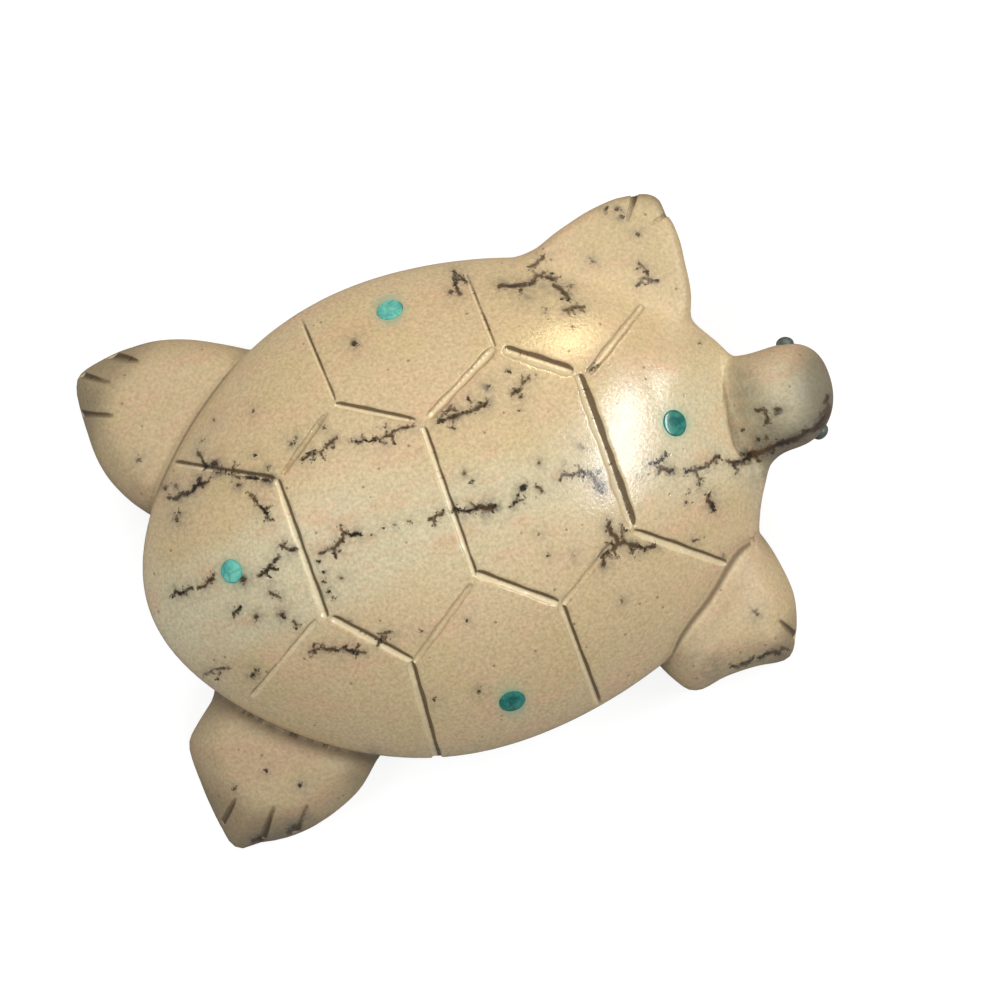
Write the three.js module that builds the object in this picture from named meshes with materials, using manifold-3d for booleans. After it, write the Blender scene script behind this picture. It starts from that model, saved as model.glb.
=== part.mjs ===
// A turtle fetish carved from one piece of veined stone, with six turquoise pieces let into it.
// Millimetres. +X points to the head, +Y to the turtle's left side, +Z up.

import * as THREE from 'three';
import { mergeVertices } from 'three/addons/utils/BufferGeometryUtils.js';
import Module from 'manifold-3d';

const wasm = await Module();
wasm.setup();

// Shell
const shellHalfLength = 31.2;
const shellHalfWidth = 24.25;
const shellPinch = 0.07; // draws the outline in between its long and its short axis
const pinchToRear = 0.455; // the pinch grows by this to the rear, and shrinks to the front
const shoulder = 0.065; // the rim stands forward by this share on each side of the neck
const shoulderPlace = 5.8; // from the middle line
const shoulderSpread = 3;
const rimHeight = 8.5; // the widest line of the shell, above the ground
const domeHeight = 13.5; // top of the shell, above its rim
const domeRoundness = 0.75; // 0.5 gives a half ellipse, 1 a parabola
const bellyHeight = 1.2; // the belly clears the ground by this
const bellyShare = 0.8; // flat part of the belly, as a share of the shell

// Legs
const legReach = 0.5; // the toes lie this far outside the rim, as a share of the shell
const soleRounding = 0.9; // height of the rounding where the sides meet the sole

// Head and neck
const headReach = 40.65; // from the middle of the shell to the nose
const noseLength = 5.4; // from the thickest part of the head to the nose
const headMiddle = headReach - noseLength;
const headHalfWidth = 5.25;
const crownHeight = 15;
const chinHeight = 4.8;
const noseHeight = 8.8;
const noseRoundness = 2.3; // 2 gives an ellipse, higher values a blunter nose
const noseTurn = 0.7; // the nose points this far to the left of the middle line
const napeHeight = 9.4; // low point between the shell and the head
const napeRoundness = 2.2; // higher values keep the neck high for longer behind the head
const neckLength = 4.9; // from the thickest part of the head back to the nape
const neckFlare = { left: 1.2, right: 3.6 }; // the neck grows by this where it leaves the shell
const neckRootDepth = 8; // how far the neck runs on inside the shell

// Carved lines
const shellCutWidth = 1; // each cut's width is a share of this
const shellCutDepth = 0.75; // for a cut of this width
const toeCutWidth = 1.1;
const toeCutDepth = 0.8;
const cutEndShare = 0.15; // a cut ends at this share of its full width and depth
const cutFullness = 0.7; // lower values keep a cut at nearly its full width for longer
const openCutShare = 0.6; // a cut that runs over an edge uses this much of the swell of a whole cut
const bladeLift = 0.8; // the cutting blades stand above the surface by this

// Turquoise
const inlayDiameter = 2.6;
const inlayDepth = 1.8;
const inlayCrown = 0.12; // the inlays are ground almost flush
const eyeDiameter = 1.8;
const eyeDepth = 1.1;
const eyeCrown = 0.7; // the eyes stand out as beads
const glueGap = 0.15;

// Fineness of the facets, and the small distances used in working out directions and shared points
const shellSides = 68;
const domeRings = 12;
const flankRings = 4;
const headSides = 24;
const headRings = 6;
const legSides = 32;
const legRings = 4;
const bladeSteps = 6;
const plugSides = 18;
const crownRings = 3;
const nudge = 0.01;
const halvings = 40;
const sharedPointTolerance = 1e-4;

// Legs, in shares of the shell's half-sizes: points of each outline from the flank round the toes to the
// end of the shell, the last two of them hidden in it, and the cuts between the toes. The top of a leg
// falls from one share of the rim's height to another, and its upper edge has its own rounding.
const legs = {
  rearLeft: {
    creaseShare: 1.04,
    toeShare: 0.66,
    rounding: 2.6,
    outline: [[-0.365, 0.833], [-0.436, 0.887], [-0.513, 0.944], [-0.609, 1.006], [-0.705, 1.043],
      [-0.785, 1.052], [-0.865, 1.047], [-0.962, 1.023], [-0.997, 0.986], [-1.01, 0.907],
      [-1.013, 0.763], [-1.01, 0.66], [-0.99, 0.557], [-0.949, 0.449], [-0.897, 0.363], [-0.84, 0.28],
      [-0.577, 0.165], [-0.288, 0.536]],
    toeCuts: [{ from: [-0.897, 0.944], to: [-0.994, 1.027] },
      { from: [-0.92, 0.808], to: [-1.038, 0.874] },
      { from: [-0.788, 0.99], to: [-0.891, 1.068] }],
  },
  rearRight: {
    creaseShare: 0.94,
    toeShare: 0.6,
    rounding: 2.6,
    outline: [[-0.397, -0.816], [-0.465, -0.887], [-0.545, -0.977], [-0.641, -1.035], [-0.737, -1.068],
      [-0.833, -1.076], [-0.91, -1.064], [-0.939, -1.068], [-0.981, -1.068], [-1, -1.039],
      [-1.01, -0.99], [-1.019, -0.866], [-1.026, -0.742], [-1.026, -0.61], [-1.01, -0.557],
      [-0.962, -0.499], [-0.904, -0.437], [-0.853, -0.363], [-0.577, -0.165], [-0.288, -0.536]],
    toeCuts: [{ from: [-0.936, -0.858], to: [-1.032, -0.973] },
      { from: [-0.827, -0.94], to: [-0.936, -1.109] },
      { from: [-0.724, -0.977], to: [-0.817, -1.113] }],
  },
  frontLeft: {
    creaseShare: 1.24,
    toeShare: 0.73,
    rounding: 1.4,
    outline: [[0.436, 0.8], [0.487, 0.87], [0.545, 0.903], [0.609, 0.936], [0.673, 0.961],
      [0.737, 0.981], [0.817, 0.994], [0.865, 0.99], [0.929, 0.973], [0.962, 0.936], [0.968, 0.878],
      [0.981, 0.825], [0.984, 0.742], [0.978, 0.66], [0.971, 0.577], [0.958, 0.503], [0.933, 0.454],
      [0.859, 0.371], [0.577, 0.165], [0.288, 0.536]],
    toeCuts: [{ from: [0.846, 0.895], to: [0.91, 1.014] },
      { from: [0.917, 0.849], to: [1.013, 0.882] }],
  },
  frontRight: {
    creaseShare: 1.24,
    toeShare: 0.6,
    rounding: 2.6,
    outline: [[0.471, -0.8], [0.494, -0.882], [0.519, -0.948], [0.551, -1.01], [0.577, -1.031],
      [0.609, -1.035], [0.673, -1.019], [0.737, -1.014], [0.801, -1.019], [0.865, -1.031],
      [0.901, -1.023], [0.926, -0.981], [0.958, -0.887], [0.974, -0.784], [0.968, -0.68],
      [0.949, -0.561], [0.917, -0.462], [0.853, -0.379], [0.545, -0.165], [0.288, -0.536]],
    toeCuts: [{ from: [0.904, -0.87], to: [0.955, -0.998] }],
  },
};

// Shell cuts, in shares of the shell's half-sizes. Each side has a zigzag of plate edges from the rear
// to the front, and a cut from each of its two outer corners to the rim.
const plateEdges = {
  left: {
    zigzag: [[-0.766, 0.536], [-0.468, 0.351], [-0.24, 0.54], [0.022, 0.384], [0.324, 0.553],
      [0.548, 0.363], [0.798, 0.536]],
    zigzagWidths: [0.8, 0.7, 0.85, 1.0, 1.3, 0.9],
    rimCuts: [{ corner: 2, rim: [-0.244, 0.928], width: 0.6 },
      { corner: 4, rim: [0.301, 0.887], width: 0.6 }],
  },
  right: {
    zigzag: [[-0.769, -0.47], [-0.471, -0.268], [-0.247, -0.54], [0.018, -0.305], [0.253, -0.507],
      [0.538, -0.322], [0.792, -0.569]],
    zigzagWidths: [0.7, 1.0, 0.8, 1.0, 0.8, 1.1],
    rimCuts: [{ corner: 2, rim: [-0.272, -0.928], width: 1.1 },
      { corner: 4, rim: [0.266, -0.928], width: 0.9 }],
  },
};
const crossCutWidths = { 1: 0.95, 3: 0.85, 5: 1.3 }; // across the back, between the inner corners
const cutTrim = 0.03; // each cut stops this share of its length short of the corner

// Turquoise dots, in shares of the shell's half-sizes
const inlayPlaces = {
  front: [0.782, 0.041],
  rear: [-0.705, 0.041],
  left: [0.035, 0.854],
  right: [0.01, -0.829],
};

// Eyes: where each sits along the head, as a share of the way from its thickest part to the nose, and how
// far it is turned up round the head
const eyePlaces = { left: { along: 0.4, side: 1, turn: 0 }, right: { along: 0.52, side: -1, turn: -0.22 } };

// Distance from the shell's middle in its plan: 1 on the rim
function spread(u, v) {
  const pinch = shellPinch - pinchToRear * u;
  const fromShoulder = (Math.abs(v) * shellHalfWidth - shoulderPlace) / shoulderSpread;
  const forward = THREE.MathUtils.clamp(4 * u - 3, 0, 1);
  const bulge = forward * shoulder * Math.exp(-(fromShoulder ** 2));
  return Math.sqrt(u * u + v * v + pinch * u * u * v * v - bulge);
}

// The point of the plan that lies at a given spread in a given direction, found by halving
function planPoint(distance, angle) {
  let near = 0;
  let far = 1.5;
  for (let i = 0; i < halvings; i += 1) {
    const reach = (near + far) / 2;
    if (spread(reach * Math.cos(angle), reach * Math.sin(angle)) < distance) near = reach;
    else far = reach;
  }
  return [shellHalfLength * near * Math.cos(angle), shellHalfWidth * near * Math.sin(angle)];
}

function domeLevel(u, v) {
  return rimHeight + domeHeight * Math.max(1 - spread(u, v) ** 2, 0) ** domeRoundness;
}

// The surface of the dome over a point of its plan, and the direction that it faces
function onDome([u, v]) {
  const slopeX = (domeLevel(u - nudge, v) - domeLevel(u + nudge, v)) / (2 * nudge * shellHalfLength);
  const slopeY = (domeLevel(u, v - nudge) - domeLevel(u, v + nudge)) / (2 * nudge * shellHalfWidth);
  return {
    point: new THREE.Vector3(shellHalfLength * u, shellHalfWidth * v, domeLevel(u, v)),
    normal: new THREE.Vector3(slopeX, slopeY, 1).normalize(),
  };
}

// A closed geometry as a solid that can be joined and cut
function solidOf(geometry) {
  geometry.deleteAttribute('normal');
  geometry.deleteAttribute('uv');
  const merged = mergeVertices(geometry, sharedPointTolerance);
  const corners = merged.index.array;
  const triangles = [];
  for (let i = 0; i < corners.length; i += 3) {
    const [a, b, c] = [corners[i], corners[i + 1], corners[i + 2]];
    if (a !== b && b !== c && c !== a) triangles.push(a, b, c);
  }
  const vertProperties = merged.attributes.position.array;
  const triVerts = Uint32Array.from(triangles);
  return new wasm.Manifold(new wasm.Mesh({ numProp: 3, vertProperties, triVerts }));
}

function geometryOf(solid) {
  const mesh = solid.getMesh();
  const geometry = new THREE.BufferGeometry();
  geometry.setAttribute('position', new THREE.BufferAttribute(mesh.vertProperties, 3));
  geometry.setIndex(new THREE.BufferAttribute(mesh.triVerts, 1));
  geometry.computeVertexNormals();
  return geometry;
}

// Moves each vertex of a geometry to the place that a function gives for it
function deform(geometry, place) {
  const position = geometry.attributes.position;
  for (let i = 0; i < position.count; i += 1) {
    position.setXYZ(i, ...place(position.getX(i), position.getY(i), position.getZ(i)));
  }
  return geometry;
}

// Shell: a turned profile of unit radius, spread out to the shell's plan
function shellSolid() {
  const profile = [new THREE.Vector2(0, bellyHeight)];
  for (let i = 0; i < flankRings; i += 1) {
    const angle = (i / flankRings) * Math.PI / 2;
    const radius = bellyShare + (1 - bellyShare) * Math.sin(angle);
    profile.push(new THREE.Vector2(radius, rimHeight - (rimHeight - bellyHeight) * Math.cos(angle)));
  }
  for (let i = 0; i < domeRings; i += 1) {
    const angle = (i / domeRings) * Math.PI / 2;
    const rise = Math.sin(angle) ** (2 * domeRoundness);
    profile.push(new THREE.Vector2(Math.cos(angle), rimHeight + domeHeight * rise));
  }
  profile.push(new THREE.Vector2(0, rimHeight + domeHeight));
  const turned = new THREE.LatheGeometry(profile, shellSides);
  return solidOf(deform(turned, (x, y, z) => [...planPoint(Math.hypot(x, z), Math.atan2(x, z)), y]));
}

// The top of a leg falls from the shell's rim to the toes
function legTop(leg, u, v) {
  const outward = THREE.MathUtils.clamp((spread(u, v) - 1) / legReach, 0, 1);
  return rimHeight * THREE.MathUtils.lerp(leg.creaseShare, leg.toeShare, outward);
}

// Leg: a turned profile of unit radius, spread out to the leg's outline, whose top falls to the toes
function legSolid(leg) {
  const corners = leg.outline.map(([u, v]) => new THREE.Vector3(shellHalfLength * u, shellHalfWidth * v, 0));
  if (THREE.ShapeUtils.isClockWise(corners)) corners.reverse();
  const outline = new THREE.CatmullRomCurve3(corners, true);
  const middle = new THREE.Box3().setFromPoints(corners).getCenter(new THREE.Vector3());
  const reach = middle.distanceTo(corners[0]);
  const top = leg.creaseShare * rimHeight;
  const profile = [new THREE.Vector2(0, 0), new THREE.Vector2(1 - soleRounding / reach, 0)];
  profile.push(new THREE.Vector2(1, soleRounding));
  for (let i = 0; i <= legRings; i += 1) {
    const angle = (i / legRings) * Math.PI / 2;
    const radius = 1 - leg.rounding / reach * (1 - Math.cos(angle));
    profile.push(new THREE.Vector2(radius, top - leg.rounding * (1 - Math.sin(angle))));
  }
  profile.push(new THREE.Vector2(0, top));
  const turned = new THREE.LatheGeometry(profile, legSides);
  return solidOf(deform(turned, (across, height, along) => {
    const turn = (Math.atan2(across, along) / (2 * Math.PI) + 1) % 1;
    const { x, y } = middle.clone().lerp(outline.getPoint(turn), Math.hypot(across, along));
    return [x, y, height / top * legTop(leg, x / shellHalfLength, y / shellHalfWidth)];
  }));
}

// Head and neck: cross-sections along X, each an ellipse with its own half-width, top and bottom
function headSection(x) {
  const forward = (x - headMiddle) / (headReach - headMiddle);
  if (forward > 0) {
    const size = (1 - Math.min(forward, 1) ** noseRoundness) ** (1 / noseRoundness);
    const middle = (crownHeight + chinHeight) / 2;
    return {
      centreY: noseTurn * forward ** 2,
      centreZ: middle + (noseHeight - middle) * forward ** 2,
      halfWidth: headHalfWidth * size,
      halfHeight: (crownHeight - chinHeight) / 2 * size,
    };
  }
  const back = Math.min((headMiddle - x) / neckLength, 1);
  const top = napeHeight + (crownHeight - napeHeight) * (1 - back ** napeRoundness);
  return {
    centreY: (neckFlare.left - neckFlare.right) / 2 * back ** 3,
    centreZ: (top + chinHeight) / 2,
    halfWidth: headHalfWidth + (neckFlare.left + neckFlare.right) / 2 * back ** 3,
    halfHeight: (top - chinHeight) / 2,
  };
}

function onHead(x, angle) {
  const section = headSection(x);
  return new THREE.Vector3(
    x,
    section.centreY + section.halfWidth * Math.cos(angle),
    section.centreZ + section.halfHeight * Math.sin(angle),
  );
}

function headSolid() {
  const root = headMiddle - neckLength - neckRootDepth;
  const nape = headMiddle - neckLength;
  const profile = [new THREE.Vector2(0, root), new THREE.Vector2(1, root)];
  for (let i = 0; i < headRings; i += 1) {
    profile.push(new THREE.Vector2(1, nape + (headMiddle - nape) * (i / headRings)));
  }
  for (let i = 0; i < headRings; i += 1) {
    const forward = Math.sin((i / headRings) * Math.PI / 2);
    profile.push(new THREE.Vector2(1, headMiddle + (headReach - headMiddle) * forward));
  }
  profile.push(new THREE.Vector2(0, headReach));
  const turned = new THREE.LatheGeometry(profile, headSides);
  return solidOf(deform(turned, (rise, along, sideways) => {
    const edge = onHead(along, Math.atan2(rise, sideways));
    const section = headSection(along);
    const middle = new THREE.Vector3(along, section.centreY, section.centreZ);
    return middle.lerp(edge, Math.hypot(rise, sideways)).toArray();
  }));
}

// Blade: a three-sided bar whose edge runs along a path just under the surface. Its cut is widest in
// its middle and runs out at both ends, or only at its start where openEnd is set.
function bladeSolid(path, width, depth, openEnd) {
  const bar = new THREE.CylinderGeometry(1, 1, 1, 3, bladeSteps);
  const halfSide = Math.sin(Math.PI * 2 / 3);
  return solidOf(deform(bar, (x, y, z) => {
    const along = y + 0.5;
    const swell = Math.sin(Math.PI * along * (openEnd ? openCutShare : 1)) ** cutFullness;
    const fullness = cutEndShare + (1 - cutEndShare) * swell;
    const { point, normal } = path(along);
    const ahead = path(along + nudge).point.sub(path(along - nudge).point).normalize();
    const across = normal.clone().cross(ahead).normalize();
    const cutDepth = depth * fullness;
    const topHalfWidth = width / 2 * fullness * (1 + bladeLift / cutDepth);
    const down = (z + 0.5) / 1.5 * (cutDepth + bladeLift) - bladeLift;
    point.addScaledVector(across, topHalfWidth * x / halfSide).addScaledVector(normal, -down);
    return point.toArray();
  }));
}

function shellCut(from, to, widthShare) {
  const start = new THREE.Vector2(...from);
  const end = new THREE.Vector2(...to);
  const path = (along) => onDome(start.clone().lerp(end, cutTrim + (1 - 2 * cutTrim) * along).toArray());
  return bladeSolid(path, shellCutWidth * widthShare, shellCutDepth * Math.sqrt(widthShare), false);
}

function shellCuts() {
  const cuts = [];
  for (const side of Object.values(plateEdges)) {
    side.zigzagWidths.forEach((width, i) => cuts.push(shellCut(side.zigzag[i], side.zigzag[i + 1], width)));
    side.rimCuts.forEach(({ corner, rim, width }) => cuts.push(shellCut(side.zigzag[corner], rim, width)));
  }
  for (const [corner, width] of Object.entries(crossCutWidths)) {
    cuts.push(shellCut(plateEdges.left.zigzag[corner], plateEdges.right.zigzag[corner], width));
  }
  return cuts;
}

// Toe cuts run over the edge of the foot, where the surface falls away by the edge's rounding
function toeCuts(leg) {
  return leg.toeCuts.map(({ from, to }) => {
    const start = new THREE.Vector2(...from);
    const end = new THREE.Vector2(...to);
    const path = (along) => {
      const [u, v] = start.clone().lerp(end, along).toArray();
      const fall = leg.rounding * Math.max(along, 0) ** 2;
      return {
        point: new THREE.Vector3(shellHalfLength * u, shellHalfWidth * v, legTop(leg, u, v) - fall),
        normal: new THREE.Vector3(0, 0, 1),
      };
    };
    return bladeSolid(path, toeCutWidth, toeCutDepth, true);
  });
}

// Plug: a round peg with a domed face, its seat level with the surface at z = 0
function plugGeometry(radius, depth, crown) {
  const profile = [new THREE.Vector2(0, -depth), new THREE.Vector2(radius, -depth)];
  for (let i = 0; i < crownRings; i += 1) {
    const angle = (i / crownRings) * Math.PI / 2;
    profile.push(new THREE.Vector2(radius * Math.cos(angle), crown * Math.sin(angle)));
  }
  profile.push(new THREE.Vector2(0, crown));
  return new THREE.LatheGeometry(profile, plugSides).rotateX(Math.PI / 2);
}

// The drilled hole for a plug, larger by the glue line and reaching out of the surface
function drillSolid(setting) {
  const radius = setting.radius + glueGap;
  const depth = setting.depth + glueGap;
  const drill = new THREE.CylinderGeometry(radius, radius, depth + bladeLift, plugSides).rotateX(Math.PI / 2);
  drill.translate(0, 0, (bladeLift - depth) / 2);
  drill.applyQuaternion(setting.turn);
  drill.translate(...setting.point.toArray());
  return solidOf(drill);
}

function setting(name, { point, normal }, radius, depth, crown) {
  const turn = new THREE.Quaternion().setFromUnitVectors(new THREE.Vector3(0, 0, 1), normal);
  return { name, point, turn, radius, depth, crown };
}

function inlaySettings() {
  return Object.entries(inlayPlaces).map(([place, spot]) => (
    setting(`inlay_${place}`, onDome(spot), inlayDiameter / 2, inlayDepth, inlayCrown)
  ));
}

function eyeSettings() {
  return Object.entries(eyePlaces).map(([name, { along, side, turn }]) => {
    const x = headMiddle + (headReach - headMiddle) * along;
    const level = side > 0 ? turn : Math.PI - turn;
    const lengthways = onHead(x + nudge, level).sub(onHead(x - nudge, level));
    const around = onHead(x, level + nudge).sub(onHead(x, level - nudge));
    const point = onHead(x, level);
    const normal = around.cross(lengthways).normalize();
    return setting(`eye_${name}`, { point, normal }, eyeDiameter / 2, eyeDepth, eyeCrown);
  });
}

function bodyGeometry(settings) {
  let stone = shellSolid().add(headSolid());
  for (const leg of Object.values(legs)) stone = stone.add(legSolid(leg));
  for (const cut of shellCuts()) stone = stone.subtract(cut);
  for (const leg of Object.values(legs)) {
    for (const cut of toeCuts(leg)) stone = stone.subtract(cut);
  }
  for (const hole of settings.map(drillSolid)) stone = stone.subtract(hole);
  return geometryOf(stone);
}

function stoneMaterial() {
  return new THREE.MeshStandardMaterial({ color: '#c9b48a', roughness: 0.45, metalness: 0 });
}

function turquoiseMaterial() {
  return new THREE.MeshStandardMaterial({ color: '#4fae9f', roughness: 0.35, metalness: 0 });
}

function buildTurtle() {
  const turtle = new THREE.Group();
  const settings = [...inlaySettings(), ...eyeSettings()];
  const body = new THREE.Mesh(bodyGeometry(settings), stoneMaterial());
  body.name = 'turtle_body';
  turtle.add(body);
  for (const { name, point, turn, radius, depth, crown } of settings) {
    const plug = new THREE.Mesh(plugGeometry(radius, depth, crown), turquoiseMaterial());
    plug.name = name;
    plug.position.copy(point);
    plug.quaternion.copy(turn);
    turtle.add(plug);
  }
  return turtle;
}

// The origin is under the middle of the whole turtle, at the level that it stands on
const part = new THREE.Group();
const turtle = buildTurtle();
part.add(turtle);
const bounds = new THREE.Box3().setFromObject(turtle);
const middle = bounds.getCenter(new THREE.Vector3());
turtle.position.set(-middle.x, -middle.y, -bounds.min.z);

export default part;
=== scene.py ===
import math

import bpy
import numpy as np
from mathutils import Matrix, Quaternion, Vector


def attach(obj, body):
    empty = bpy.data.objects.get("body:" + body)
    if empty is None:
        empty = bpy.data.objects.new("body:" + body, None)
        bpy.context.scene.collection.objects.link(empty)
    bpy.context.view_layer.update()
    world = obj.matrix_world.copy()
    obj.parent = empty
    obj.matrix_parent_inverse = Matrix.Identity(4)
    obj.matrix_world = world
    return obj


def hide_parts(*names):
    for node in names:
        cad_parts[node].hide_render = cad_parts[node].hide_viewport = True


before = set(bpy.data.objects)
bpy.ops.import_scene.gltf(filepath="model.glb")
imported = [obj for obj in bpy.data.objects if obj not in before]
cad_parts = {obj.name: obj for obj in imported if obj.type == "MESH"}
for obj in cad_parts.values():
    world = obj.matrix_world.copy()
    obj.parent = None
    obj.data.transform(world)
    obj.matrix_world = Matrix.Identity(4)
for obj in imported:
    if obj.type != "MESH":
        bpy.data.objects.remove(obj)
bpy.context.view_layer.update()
millimetre = 0.001

# The plan point that all places below are counted from, in the part's own frame
planMiddle = np.array((-4.2844, 0.2863, 0.0))


def linearColour(hexColour):
    # Each sRGB channel becomes linear light: a straight foot, then the power 2.4
    channels = [int(hexColour[i:i + 2], 16) / 255 for i in (1, 3, 5)]
    return [c / 12.92 if c <= 0.04045 else ((c + 0.055) / 1.055) ** 2.4 for c in channels] + [1.0]


def addNode(tree, kind, settings=None, inputs=None):
    # Adds one node, sets its properties, and sets or links each input, given by number, name or identifier
    node = tree.nodes.new(kind)
    for name, value in (settings or {}).items():
        setattr(node, name, value)
    for name, value in (inputs or {}).items():
        known = enumerate(node.inputs)
        socket = next(i for n, i in known if name in (n, i.name, i.identifier) and i.enabled)
        if isinstance(value, bpy.types.NodeSocket):
            tree.links.new(value, socket)
        else:
            socket.default_value = value
    return node


def addObject(name, data):
    # An object at the origin, unturned
    thing = bpy.data.objects.new(name, data)
    bpy.context.scene.collection.objects.link(thing)
    return thing


def meshInMetres(name, points, faces):
    # A mesh in metres, in the part's own frame, from millimetre points counted from the plan's middle
    mesh = bpy.data.meshes.new(name)
    mesh.from_pydata((points + planMiddle) * millimetre, [], faces)
    mesh.update()
    return mesh


def addPiece(name, points, faces, slotName, nodeName):
    # A piece of the turtle that stands for a CAD node
    piece = addObject(name, meshInMetres(name, points, faces))
    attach(piece, "root")
    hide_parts(nodeName)
    return piece


# Camera: straight down, rolled so that the head points up to the right. Clip is in metres.
cameraSettings = {
    "aim": (5.5, -0.73),
    "frameWidth": 100.0,
    "frameLevel": 7.0,
    "distance": 1200.0,
    "roll": -18.5,
    "sensor": 36.0,
    "clip": (0.01, 20),
}


def makeCamera(s):
    data = bpy.data.cameras.new("camera")
    data.sensor_width = s["sensor"]
    data.lens = s["sensor"] * s["distance"] / s["frameWidth"]
    data.clip_start, data.clip_end = s["clip"]
    camera = addObject("camera", data)
    place = planMiddle + np.array((*s["aim"], s["frameLevel"] + s["distance"]))
    camera.location = Vector(place * millimetre)
    camera.rotation_euler = (0, 0, math.radians(s["roll"]))
    bpy.context.scene.camera = camera


# Lights: azimuth counts from the head towards the turtle's left side, roll turns a light about its own beam,
# size is its width and height. What a light doesn't give is as in the plain one.
plainLight = {"roll": 0, "distance": 900, "colour": "#FFFFFF", "gloss": False}
lights = {
    "window": {"azimuth": 4, "elevation": 42, "roll": -27, "size": (600, 75), "power": 4.1, "gloss": True},
    "lamp": {"azimuth": 50, "elevation": 26, "size": (150, 120), "power": 1.55, "colour": "#FFE2AE",
             "gloss": True},
    "left": {"azimuth": 95, "elevation": 45, "size": (800, 600), "power": 2.85},
    "right": {"azimuth": -80, "elevation": 55, "size": (800, 400), "power": 3.15},
    "rear": {"azimuth": 150, "elevation": 52, "size": (800, 400), "power": 3.7},
}
room = {"colour": "#FFFFFF", "strength": 0.08}


def makeLights():
    for name, light in lights.items():
        s = {**plainLight, **light}
        data = bpy.data.lights.new(name, "AREA")
        data.shape = "RECTANGLE"
        data.size, data.size_y = (side * millimetre for side in s["size"])
        data.energy = s["power"]
        data.color = linearColour(s["colour"])[:3]
        lamp = addObject(name, data)
        turn, rise = math.radians(s["azimuth"]), math.radians(s["elevation"])
        outward = Vector((math.cos(turn) * math.cos(rise), math.sin(turn) * math.cos(rise), math.sin(rise)))
        lamp.location = outward * s["distance"] * millimetre
        roll = Quaternion((0, 0, 1), math.radians(s["roll"]))
        lamp.rotation_euler = (outward.to_track_quat("Z", "Y") @ roll).to_euler()
        lamp.visible_glossy = s["gloss"]
    world = bpy.data.worlds.new("room")
    world.use_nodes = True
    background = world.node_tree.nodes["Background"]
    background.inputs["Color"].default_value = linearColour(room["colour"])
    background.inputs["Strength"].default_value = room["strength"]
    bpy.context.scene.world = world
    bpy.context.scene.view_settings.view_transform = "Standard"


# Floor: a pale matt board, lit from below as a light table is, which only the camera sees
floorSettings = {"halfSize": 900.0, "colour": "#8A8A8A", "roughness": 0.9, "glow": 0.82}


def makeFloor(s):
    half = s["halfSize"] * millimetre
    corners = [(-half, -half, 0), (half, -half, 0), (half, half, 0), (-half, half, 0)]
    mesh = bpy.data.meshes.new("floor")
    mesh.from_pydata(corners, [], [(0, 1, 2, 3)])
    floor = addObject("floor", mesh)
    material = bpy.data.materials.new("pale matt board")
    material.use_nodes = True
    shader = material.node_tree.nodes["Principled BSDF"]
    shader.inputs["Base Color"].default_value = linearColour(s["colour"])
    shader.inputs["Roughness"].default_value = s["roughness"]
    shader.inputs["Emission Color"].default_value = (1, 1, 1, 1)
    seen = addNode(material.node_tree, "ShaderNodeLightPath").outputs["Is Camera Ray"]
    glow = addNode(material.node_tree, "ShaderNodeMath", {"operation": "MULTIPLY"}, {0: seen, 1: s["glow"]})
    material.node_tree.links.new(glow.outputs[0], shader.inputs["Emission Strength"])
    mesh.materials.append(material)


makeCamera(cameraSettings)
makeLights()
makeFloor(floorSettings)
print("camera, lights and floor made")

# Shell: a dome over a plan that is fuller at the front than at the rear
shell = {
    "halfLength": 31.2,
    "halfWidth": 24.25,
    "pinch": 0.07,
    "pinchToRear": 0.455,
    "rimHeight": 8.5,
    "domeHeight": 13.5,
    "domeRoundness": 0.75,
    "flankHeight": 11.0,
    "flankRoundness": 2.5,
    "bellyHeight": 1.2,
    "bellyRounding": 1.5,
    "shoulder": 0.065,
    "shoulderPlace": 5.8,
    "shoulderSpread": 3.0,
    "nape": [(36, 5.5), (31.6, 5.3), (31.0, 4.0), (30.1, 1.4), (29.5, -0.8), (29.3, -3.0), (29.9, -5.2),
             (36, -5.6)],
    "napeLow": 7.6,
    "napeEdge": 0.3,
    "napeMargin": 3,
    "leastSteepness": 0.02,
}

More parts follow.
